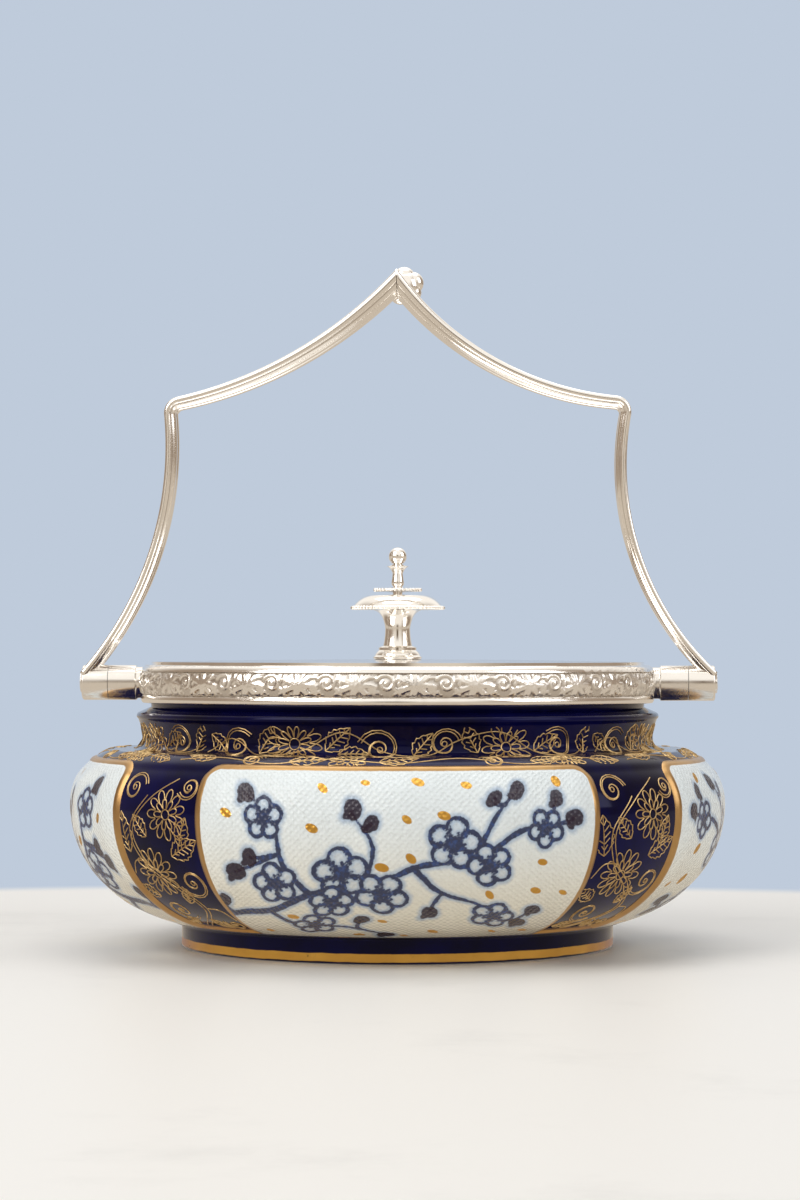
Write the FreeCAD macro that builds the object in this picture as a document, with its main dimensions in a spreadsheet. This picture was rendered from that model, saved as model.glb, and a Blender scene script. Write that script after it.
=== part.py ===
import FreeCAD, Part
import math
import os
import Sketcher

# A lidded biscuit jar: a squat round glazed bowl, a plated collar set on its rim in plaster,
# a plated lid with a turned finial, and a reeded bail handle that swings on two screws.
# Z is up, the jar stands on Z = 0 around the Z axis, and the handle pivots lie along X.

# Every size that can be set by itself, in millimetres or degrees.
SIZES = {
    # Foot ring of the bowl
    "foot_radius": 58.7,
    "foot_height": 6.3,
    "foot_wall": 5.5,
    "foot_recess": 2.4,
    "foot_edge": 0.6,
    # Round body of the bowl
    "base_overhang": 2.5,
    "base_step": 0.6,
    "belly_overhang": 19.0,
    "belly_rise": 31.6,
    "belly_curve": 29.5,
    "belly_turn": 40.0,
    "base_curve": 38.7,
    "brow_inset": 4.7,
    "brow_rise": 11.5,
    "shoulder_ledge": 6.2,
    "shoulder_rise": 3.4,
    "cove_width": 3.0,
    "cove_rise": 3.6,
    "neck_step": 2.1,
    "neck_rise": 4.6,
    "neck_flare": 1.3,
    "flange_height": 1.7,
    "flange_curve": 1.0,
    "flange_slope": 1.5,
    "throat_radius": 67.2,
    "throat_height": 1.2,
    "bowl_wall": 4.6,
    "bowl_floor": 5.2,
    # Plated collar on the rim
    "collar_bead_height": 2.2,
    "collar_bead_curve": 1.5,
    "collar_band_height": 6.3,
    "collar_band_curve": 7.0,
    "collar_wall": 0.8,
    "plaster_thickness": 1.4,
    "collar_grip": 0.2,
    "liner_wall": 0.7,
    "liner_depth": 6.0,
    "liner_fit": 0.2,
    "moulding_height": 1.0,
    "moulding_lip": 0.5,
    "moulding_inset": 1.8,
    "moulding_curve": 2.16,
    "moulding_width": 6.9,
    # Lid
    "lid_reveal": 0.9,
    "lid_edge": 0.8,
    "lid_dome": 0.7,
    "bezel_depth": 5.4,
    "bezel_wall": 0.8,
    "bezel_fit": 0.35,
    # Hinge lugs, barrels and screws
    "pivot_rise": 5.3,
    "barrel_radius": 4.8,
    "barrel_length": 7.2,
    "barrel_edge": 0.5,
    "lug_length": 9.6,
    "lug_waist": 0.5,
    "lug_waist_length": 2.2,
    "hinge_gap": 0.15,
    "screw_radius": 1.5,
    "screw_fit": 0.05,
    "screw_grip": 5.5,
    "screw_head_radius": 2.7,
    "screw_head_height": 1.2,
    "screw_head_curve": 8.1,
    "screw_head_recess": 0.5,
    "screw_head_fit": 0.2,
    "screw_head_float": 0.1,
    "screw_slot_width": 0.7,
    "screw_slot_depth": 0.5,
    # Bail handle
    "handle_foot_offset": 5.6,
    "handle_shoulder_inset": 20.8,
    "handle_shoulder_rise": 77.7,
    "handle_shoulder_curve": 4.2,
    "handle_peak_rise": 112.5,
    "left_arm_curve": 93.6,
    "right_arm_curve": 77.0,
    "left_top_curve": 116.0,
    "right_top_curve": 83.0,
    "strap_foot_width": 8.8,
    "strap_top_width": 18.0,
    "strap_foot_thickness": 3.5,
    "strap_top_thickness": 4.8,
    "strap_foot_run": 5.0,
    "strap_peak_run": 5.0,
    "strap_bead_share": 0.27,
    "strap_reed_share": 0.13,
    "strap_groove_share": 0.78,
    "strap_groove_inset_share": 1.7,
    "strap_groove_rise_share": 1.72,
    "strap_reed_curve_share": 0.175,
    # Cast rosette behind the peak of the handle
    "rosette_core_radius": 4.5,
    "rosette_petal_radius": 2.6,
    "rosette_petal_reach": 3.1,
    "rosette_petals": 5,
    "rosette_aside": 1.5,
    "rosette_solder": 0.05,
    "rosette_drop": 3.6,
    "rosette_turn": 23.0,
    # Turned finial on the lid
    "stud_radius": 1.0,
    "stud_grip": 1.5,
    "finial_base_radius": 6.75,
    "finial_base_foot": 0.6,
    "finial_base_height": 2.5,
    "finial_base_curve": 3.75,
    "finial_step_radius": 5.2,
    "finial_step_height": 1.2,
    "finial_step_edge": 0.5,
    "finial_step_curve": 1.8,
    "stem_end_radius": 4.0,
    "stem_waist": 0.55,
    "stem_waist_height": 4.07,
    "stem_curve": 22.2,
    "stem_height": 7.4,
    "stem_flare_radius": 7.0,
    "stem_flare_height": 2.5,
    "stem_flare_curve": 4.0,
    "saucer_radius": 12.6,
    "saucer_rim_height": 0.9,
    "saucer_rim_round_share": 0.55,
    "saucer_crown_radius": 8.4,
    "saucer_crown_height": 2.9,
    "saucer_crown_curve": 6.96,
    "disc_gap": 0.8,
    "disc_neck_radius": 1.3,
    "disc_radius": 6.6,
    "disc_edge": 0.5,
    "disc_edge_round_share": 0.6,
    "disc_height": 1.5,
    "vase_foot_radius": 1.15,
    "vase_belly_radius": 1.7,
    "vase_belly_height": 1.5,
    "vase_belly_curve": 1.65,
    "vase_neck_radius": 1.4,
    "vase_neck_height": 2.2,
    "vase_lip_radius": 2.95,
    "vase_lip_height": 2.0,
    "vase_lip_curve": 2.8,
    "vase_collar_radius": 1.6,
    "vase_collar_height": 0.5,
    "ball_radius": 2.45,
    "ball_flat_turn": 25.0,
    "washer_radius": 3.4,
    "washer_thickness": 0.5,
    "nut_width": 4.4,
    "nut_thickness": 1.7,
    "stud_tail": 0.8,
}


class Measure:
    """A number that also remembers how the sheet works it out."""

    def __init__(self, number, formula):
        self.number = number
        self.formula = formula

    def __add__(self, other):
        other = measure(other)
        return Measure(self.number + other.number, f"({self.formula} + {other.formula})")

    def __sub__(self, other):
        other = measure(other)
        return Measure(self.number - other.number, f"({self.formula} - {other.formula})")

    def __mul__(self, other):
        other = measure(other)
        return Measure(self.number * other.number, f"({self.formula} * {other.formula})")

    def __truediv__(self, other):
        other = measure(other)
        return Measure(self.number / other.number, f"({self.formula} / {other.formula})")

    def __neg__(self):
        return measure(0) - self


def measure(value):
    if isinstance(value, Measure):
        return value
    return Measure(float(value), str(float(value)))


def cosine(angle):
    return Measure(math.cos(math.radians(angle.number)), f"cos({angle.formula})")


def sine(angle):
    return Measure(math.sin(math.radians(angle.number)), f"sin({angle.formula})")


doc = FreeCAD.newDocument("BiscuitJar")
sheet = doc.addObject("Spreadsheet::Sheet", "Sizes")
for row, (name, value) in enumerate(SIZES.items(), start=1):
    sheet.set(f"A{row}", name)
    sheet.set(f"B{row}", str(value))
    sheet.setAlias(f"B{row}", name)
doc.recompute()


class Sizes:
    """The sheet's sizes, each one read by its name."""

    def __getattr__(self, name):
        return Measure(float(sheet.get(name)), f"Sizes.{name}")


size = Sizes()


def origin_plane(body, role):
    return next(item for item in body.Origin.OriginFeatures if item.Role == role)


class Outline:
    """A run of lines and arcs in one sketch, with every corner tied to the sheet."""

    def __init__(self, body, name, start, role="XZ_Plane"):
        self.sketch = body.newObject("Sketcher::SketchObject", name)
        self.sketch.AttachmentSupport = [(origin_plane(body, role), "")]
        self.sketch.MapMode = "FlatFace"
        self.start = tuple(measure(part) for part in start)
        self.at = self.start
        self.heading = None
        self.last = None

    def _here(self):
        return FreeCAD.Vector(self.at[0].number, self.at[1].number, 0)

    def _pin(self, geometry, position, point):
        for kind, distance in zip(("DistanceX", "DistanceY"), point):
            index = self.sketch.addConstraint(
                Sketcher.Constraint(kind, -1, 1, geometry, position, distance.number)
            )
            self.sketch.setExpression(f"Constraints[{index}]", distance.formula)

    def _join(self, shape, first, last, end, heading, closing, smooth=False):
        geometry = self.sketch.addGeometry(shape)
        if self.last is None:
            self.opening = (geometry, first)
            self._pin(geometry, first, self.start)
        else:
            kind = "Tangent" if smooth else "Coincident"
            self.sketch.addConstraint(Sketcher.Constraint(kind, *self.last, geometry, first))
        if closing:
            self.sketch.addConstraint(
                Sketcher.Constraint("Coincident", geometry, last, *self.opening)
            )
        else:
            self._pin(geometry, last, end)
        self.last = (geometry, last)
        self.at = end
        self.heading = heading
        return geometry

    def line(self, across, up, closing=False):
        end = (measure(across), measure(up))
        here = self._here()
        there = FreeCAD.Vector(end[0].number, end[1].number, 0)
        heading = (there - here).normalize()
        self._join(Part.LineSegment(here, there), 1, 2, end, heading, closing)

    def close(self):
        self.line(*self.start, closing=True)

    def _arc_about(self, centre, end, there, left, closing, smooth):
        here = self._here()
        radius = (here - centre).Length
        spans = [math.atan2(*reversed((point - centre)[:2])) for point in (here, there)]
        if not left:
            spans.reverse()
        circle = Part.Circle(centre, FreeCAD.Vector(0, 0, 1), radius)
        spoke = (there - centre).normalize()
        heading = FreeCAD.Vector(-spoke.y, spoke.x, 0) * (1 if left else -1)
        first, last = (1, 2) if left else (2, 1)
        shape = Part.ArcOfCircle(circle, spans[0], spans[1])
        return self._join(shape, first, last, end, heading, closing, smooth)

    def arc(self, across, up, radius, left=True, closing=False):
        """An arc of a given radius, turning left or right, of less than half a circle."""
        end = (measure(across), measure(up))
        radius = measure(radius)
        here = self._here()
        there = FreeCAD.Vector(end[0].number, end[1].number, 0)
        chord = there - here
        rise = math.sqrt(radius.number ** 2 - (chord.Length / 2) ** 2)
        side = FreeCAD.Vector(-chord.y, chord.x, 0).normalize() * (1 if left else -1)
        centre = here + chord * 0.5 + side * rise
        geometry = self._arc_about(centre, end, there, left, closing, False)
        index = self.sketch.addConstraint(Sketcher.Constraint("Radius", geometry, radius.number))
        self.sketch.setExpression(f"Constraints[{index}]", radius.formula)

    def smooth(self, across, up):
        """An arc that leaves the last line or arc without a corner."""
        end = (measure(across), measure(up))
        here = self._here()
        there = FreeCAD.Vector(end[0].number, end[1].number, 0)
        chord = there - here
        side = FreeCAD.Vector(-self.heading.y, self.heading.x, 0)
        reach = chord.Length ** 2 / (2 * chord.dot(side))
        centre = here + side * reach
        self._arc_about(centre, end, there, reach > 0, False, True)


def new_body(name):
    body = doc.addObject("PartDesign::Body", name)
    body.Label = name
    return body


def turn_round(body, sketch):
    """Spin an outline of radius and height about the vertical axis."""
    turned = body.newObject("PartDesign::Revolution", body.Name + "_turned")
    turned.Profile = sketch
    turned.ReferenceAxis = (sketch, ["V_Axis"])
    turned.Angle = 360
    return turned


def ring(name, corners):
    """A turned ring whose section has straight sides."""
    body = new_body(name)
    draw = Outline(body, name + "_section", corners[0])
    for across, up in corners[1:]:
        draw.line(across, up)
    draw.close()
    turn_round(body, draw.sketch)
    return body


def place(piece, x=0, y=0, z=0, axis=(0, 0, 1), angle=0):
    """Put a piece in the jar, with its place tied to the sheet."""
    rotation = FreeCAD.Rotation(FreeCAD.Vector(*axis), angle)
    x, y, z = measure(x), measure(y), measure(z)
    piece.Placement = FreeCAD.Placement(FreeCAD.Vector(x.number, y.number, z.number), rotation)
    for letter, distance in zip("xyz", (x, y, z)):
        piece.setExpression(f"Placement.Base.{letter}", distance.formula)


# Levels up the jar, each one standing on the one below it
base_level = size.foot_height + size.base_step
belly_level = base_level + size.belly_rise
brow_level = belly_level + size.brow_rise
shoulder_level = brow_level + size.shoulder_rise
neck_level = shoulder_level + size.cove_rise
flange_level = neck_level + size.neck_rise
flange_top_level = flange_level + size.flange_height
throat_level = flange_top_level + size.flange_slope
collar_level = throat_level + size.throat_height
band_level = collar_level + size.collar_bead_height
lip_level = band_level + size.collar_band_height
seat_level = lip_level + size.liner_wall
lid_level = seat_level + size.moulding_height
lid_top_level = lid_level + size.lid_edge + size.lid_dome
pivot_level = collar_level + size.pivot_rise

# Radii that several pieces share
mouth_radius = size.throat_radius - size.bowl_wall
neck_radius = size.throat_radius + size.neck_step
belly_radius = neck_radius + size.belly_overhang
band_inner_radius = size.throat_radius + size.plaster_thickness
band_radius = band_inner_radius + size.collar_wall
moulding_radius = band_radius + size.moulding_lip
moulding_top_radius = moulding_radius - size.moulding_inset
lid_radius = moulding_top_radius - size.lid_reveal
liner_radius = mouth_radius - size.liner_fit
liner_bore = liner_radius - size.liner_wall
bezel_radius = liner_bore - size.bezel_fit
hinge_reach = band_radius + size.lug_length
barrel_reach = hinge_reach + size.hinge_gap
handle_foot_reach = hinge_reach + size.handle_foot_offset
handle_shoulder_reach = handle_foot_reach - size.handle_shoulder_inset


def make_bowl():
    """The glazed pot: foot ring, round belly, flat shoulder, flanged neck and plain lip."""
    body = new_body("bowl")
    curve_centre = belly_radius - size.belly_curve
    turn_radius = curve_centre + size.belly_curve * cosine(size.belly_turn)
    turn_level = belly_level - size.belly_curve * sine(size.belly_turn)
    inner_curve = size.belly_curve - size.bowl_wall
    inner_turn_radius = curve_centre + inner_curve * cosine(size.belly_turn)
    inner_turn_level = belly_level - inner_curve * sine(size.belly_turn)
    floor_level = size.foot_recess + size.bowl_floor
    foot_bore = size.foot_radius - size.foot_wall
    shoulder_radius = neck_radius + size.cove_width + size.shoulder_ledge
    brow_radius = belly_radius - size.brow_inset
    flange_radius = neck_radius + size.neck_flare

    draw = Outline(body, "bowl_section", (0, size.foot_recess))
    draw.line(foot_bore - size.foot_recess, size.foot_recess)
    draw.smooth(foot_bore, 0)
    draw.line(size.foot_radius - size.foot_edge, 0)
    draw.smooth(size.foot_radius, size.foot_edge)
    draw.line(size.foot_radius, size.foot_height)
    draw.line(size.foot_radius + size.base_overhang, base_level)
    draw.line(size.foot_radius + size.base_overhang + size.base_step, base_level + size.base_step)
    # Outside of the round body, from the base up to the flat shoulder
    draw.arc(turn_radius, turn_level, size.base_curve)
    draw.arc(belly_radius, belly_level, size.belly_curve)
    draw.smooth(brow_radius, brow_level)
    draw.smooth(shoulder_radius, shoulder_level)
    draw.line(neck_radius + size.cove_width, shoulder_level)
    # Neck, the flange round it and the lip inside the collar
    draw.smooth(neck_radius, neck_level)
    draw.smooth(flange_radius, flange_level)
    draw.arc(flange_radius, flange_top_level, size.flange_curve)
    draw.line(size.throat_radius, throat_level)
    draw.line(size.throat_radius, lip_level)
    draw.line(mouth_radius, lip_level)
    # Inside, one wall thickness in
    draw.line(mouth_radius, neck_level)
    draw.line(shoulder_radius - size.bowl_wall, shoulder_level - size.bowl_wall)
    draw.smooth(brow_radius - size.bowl_wall, brow_level - size.bowl_wall)
    draw.smooth(belly_radius - size.bowl_wall, belly_level)
    draw.arc(inner_turn_radius, inner_turn_level, inner_curve, left=False)
    draw.smooth(foot_bore, floor_level)
    draw.line(0, floor_level)
    draw.close()
    turn_round(body, draw.sketch)
    return body


def make_plaster_bed():
    """Plaster poured between the neck and the band, which holds the collar on."""
    body = new_body("plaster_bed")
    draw = Outline(body, "plaster_section", (size.throat_radius, band_level))
    draw.line(band_inner_radius, band_level)
    draw.arc(band_inner_radius, lip_level, size.collar_band_curve - size.collar_wall)
    draw.line(size.throat_radius, lip_level)
    draw.close()
    turn_round(body, draw.sketch)
    return body


def make_collar_bead():
    """Plain half-round wire that edges the collar and grips the neck."""
    body = new_body("collar_bottom_bead")
    inner = size.throat_radius + size.collar_grip
    draw = Outline(body, "bead_section", (inner, collar_level))
    draw.line(band_radius, collar_level)
    draw.arc(band_radius, band_level, size.collar_bead_curve)
    draw.line(inner, band_level)
    draw.close()
    turn_round(body, draw.sketch)
    return body


def make_collar_band():
    """The pressed band with its swelling outside, bedded on the plaster."""
    body = new_body("collar_band")
    draw = Outline(body, "band_section", (band_inner_radius, band_level))
    draw.line(band_radius, band_level)
    draw.arc(band_radius, lip_level, size.collar_band_curve)
    draw.line(band_inner_radius, lip_level)
    inner_curve = size.collar_band_curve - size.collar_wall
    draw.arc(band_inner_radius, band_level, inner_curve, left=False, closing=True)
    turn_round(body, draw.sketch)
    return body


def make_collar_liner():
    """A turned sleeve inside the mouth, whose flange covers the lip and the plaster."""
    corners = [
        (liner_bore, lip_level - size.liner_depth),
        (liner_radius, lip_level - size.liner_depth),
        (liner_radius, lip_level),
        (band_radius, lip_level),
        (band_radius, seat_level),
        (liner_bore, seat_level),
    ]
    return ring("collar_liner", corners)


def make_collar_moulding():
    """Plain drawn moulding round the top of the collar, whose flat top carries the lid."""
    body = new_body("collar_top_moulding")
    draw = Outline(body, "moulding_section", (band_radius, lip_level))
    draw.line(moulding_radius, lip_level)
    draw.arc(moulding_top_radius, lid_level, size.moulding_curve)
    draw.line(moulding_radius - size.moulding_width, lid_level)
    draw.line(moulding_radius - size.moulding_width, seat_level)
    draw.line(band_radius, seat_level)
    draw.close()
    turn_round(body, draw.sketch)
    return body


def make_lid_plate():
    """The flat spun lid, very slightly domed, with a hole for the finial's stud."""
    body = new_body("lid_plate")
    dome = (lid_radius * lid_radius) / (size.lid_dome * 2) + size.lid_dome / 2
    edge_level = lid_level + size.lid_edge
    draw = Outline(body, "lid_section", (size.stud_radius, lid_level))
    draw.line(lid_radius, lid_level)
    draw.line(lid_radius, edge_level)
    draw.arc(size.stud_radius, lid_top_level, dome)
    draw.close()
    turn_round(body, draw.sketch)
    return body


def make_lid_bezel():
    """The ring soldered under the lid, which drops into the liner and centres the lid."""
    corners = [
        (bezel_radius - size.bezel_wall, lid_level - size.bezel_depth),
        (bezel_radius, lid_level - size.bezel_depth),
        (bezel_radius, lid_level),
        (bezel_radius - size.bezel_wall, lid_level),
    ]
    return ring("lid_bezel", corners)


def make_finial_pieces():
    """The finial's turned pieces, stacked on one stud that passes through the lid."""
    bore = size.stud_radius
    made = []

    # Stepped base on the lid
    foot_level = lid_top_level + size.finial_base_foot
    dome_level = foot_level + size.finial_base_height - size.finial_base_foot
    stem_level = dome_level + size.finial_step_height
    body = new_body("finial_base")
    draw = Outline(body, "finial_base_section", (bore, lid_top_level))
    draw.line(size.finial_base_radius - size.finial_base_foot, lid_top_level)
    draw.smooth(size.finial_base_radius, foot_level)
    draw.line(size.finial_base_radius - size.finial_step_edge, foot_level + size.finial_step_edge)
    draw.arc(size.finial_step_radius, dome_level, size.finial_base_curve)
    draw.line(size.finial_step_radius, stem_level - size.finial_step_edge)
    draw.arc(size.stem_end_radius, stem_level, size.finial_step_curve)
    draw.line(bore, stem_level)
    draw.close()
    turn_round(body, draw.sketch)
    made.append(body)

    # Waisted stem that flares out under the saucer
    flare_level = stem_level + size.stem_height
    saucer_level = flare_level + size.stem_flare_height
    waist_level = stem_level + size.stem_waist_height
    body = new_body("finial_stem")
    draw = Outline(body, "finial_stem_section", (bore, stem_level))
    draw.line(size.stem_end_radius, stem_level)
    draw.arc(size.stem_end_radius - size.stem_waist, waist_level, size.stem_curve, left=False)
    draw.smooth(size.stem_end_radius, flare_level)
    draw.arc(size.stem_flare_radius, saucer_level, size.stem_flare_curve, left=False)
    draw.line(bore, saucer_level)
    draw.close()
    turn_round(body, draw.sketch)
    made.append(body)

    # Broad saucer with a bead edge and a low crown
    rim_level = saucer_level + size.saucer_rim_height
    crown_level = rim_level + size.saucer_crown_height
    disc_level = crown_level + size.disc_gap
    body = new_body("finial_saucer")
    draw = Outline(body, "finial_saucer_section", (bore, saucer_level))
    rim_radius = size.saucer_radius - size.saucer_rim_height / 2
    draw.line(rim_radius, saucer_level)
    draw.arc(rim_radius, rim_level, size.saucer_rim_height * size.saucer_rim_round_share)
    draw.arc(size.saucer_crown_radius, crown_level, size.saucer_crown_curve)
    draw.line(size.disc_neck_radius, crown_level + size.disc_gap / 2)
    draw.line(size.disc_neck_radius, disc_level)
    draw.line(bore, disc_level)
    draw.close()
    turn_round(body, draw.sketch)
    made.append(body)

    # Thin roped disc under the vase
    edge_level = disc_level + (size.disc_height - size.disc_edge) / 2
    vase_level = disc_level + size.disc_height
    body = new_body("finial_rope_disc")
    draw = Outline(body, "finial_disc_section", (bore, disc_level))
    draw.line(size.disc_neck_radius, disc_level)
    disc_edge_curve = size.disc_edge * size.disc_edge_round_share
    draw.line(size.disc_radius - size.disc_edge, edge_level)
    draw.arc(size.disc_radius - size.disc_edge, edge_level + size.disc_edge, disc_edge_curve)
    draw.line(size.disc_neck_radius, vase_level)
    draw.line(bore, vase_level)
    draw.close()
    turn_round(body, draw.sketch)
    made.append(body)

    # Small vase with a flared lip, screwed on the top of the stud
    stud_top_level = vase_level + size.stud_grip
    belly = vase_level + size.vase_belly_height
    neck = belly + size.vase_neck_height
    lip = neck + size.vase_lip_height
    vase_top_level = lip + size.vase_collar_height
    body = new_body("finial_vase")
    draw = Outline(body, "finial_vase_section", (bore, vase_level))
    draw.line(size.vase_foot_radius, vase_level)
    draw.arc(size.vase_belly_radius, belly, size.vase_belly_curve)
    draw.smooth(size.vase_neck_radius, neck)
    draw.arc(size.vase_lip_radius, lip, size.vase_lip_curve, left=False)
    draw.line(size.vase_collar_radius, vase_top_level)
    draw.line(0, vase_top_level)
    draw.line(0, stud_top_level)
    draw.line(bore, stud_top_level)
    draw.close()
    turn_round(body, draw.sketch)
    made.append(body)

    # Ball on top, with a small flat where it is soldered to the vase
    half_height = size.ball_radius * cosine(size.ball_flat_turn)
    flat_radius = size.ball_radius * sine(size.ball_flat_turn)
    centre_level = vase_top_level + half_height
    body = new_body("finial_ball")
    draw = Outline(body, "finial_ball_section", (0, vase_top_level))
    draw.line(flat_radius, vase_top_level)
    draw.arc(size.ball_radius, centre_level, size.ball_radius)
    draw.smooth(0, centre_level + size.ball_radius)
    draw.close()
    turn_round(body, draw.sketch)
    made.append(body)

    # Stud, washer and nut that pull the stack down on the lid
    washer_level = lid_level - size.washer_thickness
    nut_level = washer_level - size.nut_thickness
    stud_level = nut_level - size.stud_tail
    corners = [(0, stud_level), (bore, stud_level), (bore, stud_top_level), (0, stud_top_level)]
    made.append(ring("finial_stud", corners))
    corners = [
        (bore, washer_level),
        (size.washer_radius, washer_level),
        (size.washer_radius, lid_level),
        (bore, lid_level),
    ]
    made.append(ring("finial_washer", corners))
    made.append(make_nut(bore, nut_level))
    return made


def make_nut(bore, level):
    """A square nut, as such small plated work has, padded from a square with a bore."""
    body = new_body("finial_nut")
    half = size.nut_width / 2
    draw = Outline(body, "finial_nut_square", (-half, -half), role="XY_Plane")
    draw.line(half, -half)
    draw.line(half, half)
    draw.line(-half, half)
    draw.close()
    hole = draw.sketch.addGeometry(
        Part.Circle(FreeCAD.Vector(0, 0, 0), FreeCAD.Vector(0, 0, 1), bore.number)
    )
    draw.sketch.addConstraint(Sketcher.Constraint("Coincident", hole, 3, -1, 1))
    index = draw.sketch.addConstraint(Sketcher.Constraint("Radius", hole, bore.number))
    draw.sketch.setExpression(f"Constraints[{index}]", bore.formula)
    pad = body.newObject("PartDesign::Pad", "finial_nut_pad")
    pad.Profile = draw.sketch
    pad.setExpression("Length", size.nut_thickness.formula)
    place(body, z=level)
    return body


def make_lug(name, envelope, angle):
    """A hinge lug: a barrel with a narrower root, shaped to the collar that it is soldered to."""
    root = size.collar_wall + size.lug_waist_length
    length = size.collar_wall + size.lug_length
    waist_radius = size.barrel_radius - size.lug_waist
    blank = new_body(name + "_blank")
    draw = Outline(blank, name + "_section", (0, 0))
    draw.line(waist_radius, 0)
    draw.line(waist_radius, root - size.lug_waist)
    draw.smooth(size.barrel_radius, root)
    draw.line(size.barrel_radius, length)
    draw.line(size.screw_radius, length)
    draw.line(size.screw_radius, length - size.screw_grip)
    draw.line(0, length - size.screw_grip)
    draw.close()
    turn_round(blank, draw.sketch)
    side = 1 if angle > 0 else -1
    place(blank, x=band_inner_radius * side, z=pivot_level, axis=(0, 1, 0), angle=angle)
    lug = doc.addObject("Part::Cut", name)
    lug.Label = name
    lug.Base = blank
    lug.Tool = envelope
    return lug


def make_collar_envelope():
    """The collar's outside, filled in to the axis, which the lugs' roots are cut to."""
    body = new_body("collar_envelope")
    draw = Outline(body, "envelope_section", (0, collar_level))
    draw.line(band_radius, collar_level)
    draw.arc(band_radius, band_level, size.collar_bead_curve)
    draw.arc(band_radius, lip_level, size.collar_band_curve)
    draw.line(moulding_radius, lip_level)
    draw.arc(moulding_top_radius, lid_level, size.moulding_curve)
    draw.line(0, lid_level)
    draw.close()
    turn_round(body, draw.sketch)
    return body


def make_barrel(name, angle):
    """The handle's own barrel, bored for the pivot screw and recessed for its head."""
    bore = size.screw_radius + size.screw_fit
    recess = size.screw_head_radius + size.screw_head_fit
    length = size.barrel_length
    body = new_body(name)
    draw = Outline(body, name + "_section", (bore, 0))
    draw.line(size.barrel_radius, 0)
    draw.line(size.barrel_radius, length - size.barrel_edge)
    draw.smooth(size.barrel_radius - size.barrel_edge, length)
    draw.line(recess, length)
    draw.line(recess, length - size.screw_head_recess)
    draw.line(bore, length - size.screw_head_recess)
    draw.close()
    turn_round(body, draw.sketch)
    side = 1 if angle > 0 else -1
    place(body, x=barrel_reach * side, z=pivot_level, axis=(0, 1, 0), angle=angle)
    return body


def make_screw(name, angle):
    """A slotted pivot screw: its shank carries the barrel and grips the lug."""
    recess_level = size.hinge_gap + size.barrel_length - size.screw_head_recess
    head_level = recess_level + size.screw_head_float
    head_top = head_level + size.screw_head_height
    rim = size.screw_head_radius
    body = new_body(name)
    draw = Outline(body, name + "_section", (0, -size.screw_grip))
    draw.line(size.screw_radius, -size.screw_grip)
    draw.line(size.screw_radius, head_level)
    draw.line(rim, head_level)
    draw.line(rim, head_top - size.screw_slot_depth / 2)
    draw.arc(0, head_top, size.screw_head_curve)
    draw.close()
    turn_round(body, draw.sketch)
    slot = body.newObject("PartDesign::SubtractiveBox", name + "_slot")
    slot.setExpression("Length", (rim * 4).formula)
    slot.setExpression("Width", size.screw_slot_width.formula)
    slot.setExpression("Height", (size.screw_slot_depth * 2).formula)
    place(slot, x=-rim * 2, y=-size.screw_slot_width / 2, z=head_top - size.screw_slot_depth)
    side = 1 if angle > 0 else -1
    place(body, x=hinge_reach * side, z=pivot_level, axis=(0, 1, 0), angle=angle)
    return body


def touching_centre(point, radius, corner, corner_radius, turn):
    """Centre of the arc through a point that also touches the shoulder's round corner."""
    span = corner - point
    reach = radius + corner_radius
    along = (span.Length ** 2 + radius ** 2 - reach ** 2) / (2 * span.Length)
    aside = math.sqrt(radius ** 2 - along ** 2) * turn
    span.normalize()
    return point + span * along + FreeCAD.Vector(-span.y, span.x, 0) * aside


def strap_section(body, name, width, thickness, origin, heading):
    """The reeded section: flat outside, beads along both edges and three reeds inside."""
    bead = thickness * size.strap_bead_share
    groove_across = width / 2 - bead * size.strap_groove_inset_share
    groove_up = bead * size.strap_groove_rise_share
    reed_across = width * size.strap_reed_share
    reed_up = thickness * size.strap_groove_share
    reed_curve = width * size.strap_reed_curve_share
    rise = thickness - reed_up
    crown_curve = (reed_across * reed_across) / (rise * 2) + rise / 2
    half = width / 2

    draw = Outline(body, name, (bead - half, 0), role="XY_Plane")
    draw.line(half - bead, 0)
    draw.arc(half, bead, bead)
    draw.arc(groove_across, groove_up, bead)
    draw.arc(reed_across, reed_up, reed_curve)
    draw.arc(-reed_across, reed_up, crown_curve)
    draw.arc(-groove_across, groove_up, reed_curve)
    draw.arc(-half, bead, bead)
    draw.arc(bead - half, 0, bead, closing=True)

    across = FreeCAD.Vector(0, 1, 0)
    along = FreeCAD.Vector(heading.x, 0, heading.y)
    inward = FreeCAD.Vector(-heading.y, 0, heading.x)
    turn = FreeCAD.Rotation(across, inward, along, "XYZ")
    base = FreeCAD.Vector(origin.x, 0, origin.y)
    draw.sketch.AttachmentOffset = FreeCAD.Placement(base, turn)
    return draw.sketch


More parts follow.
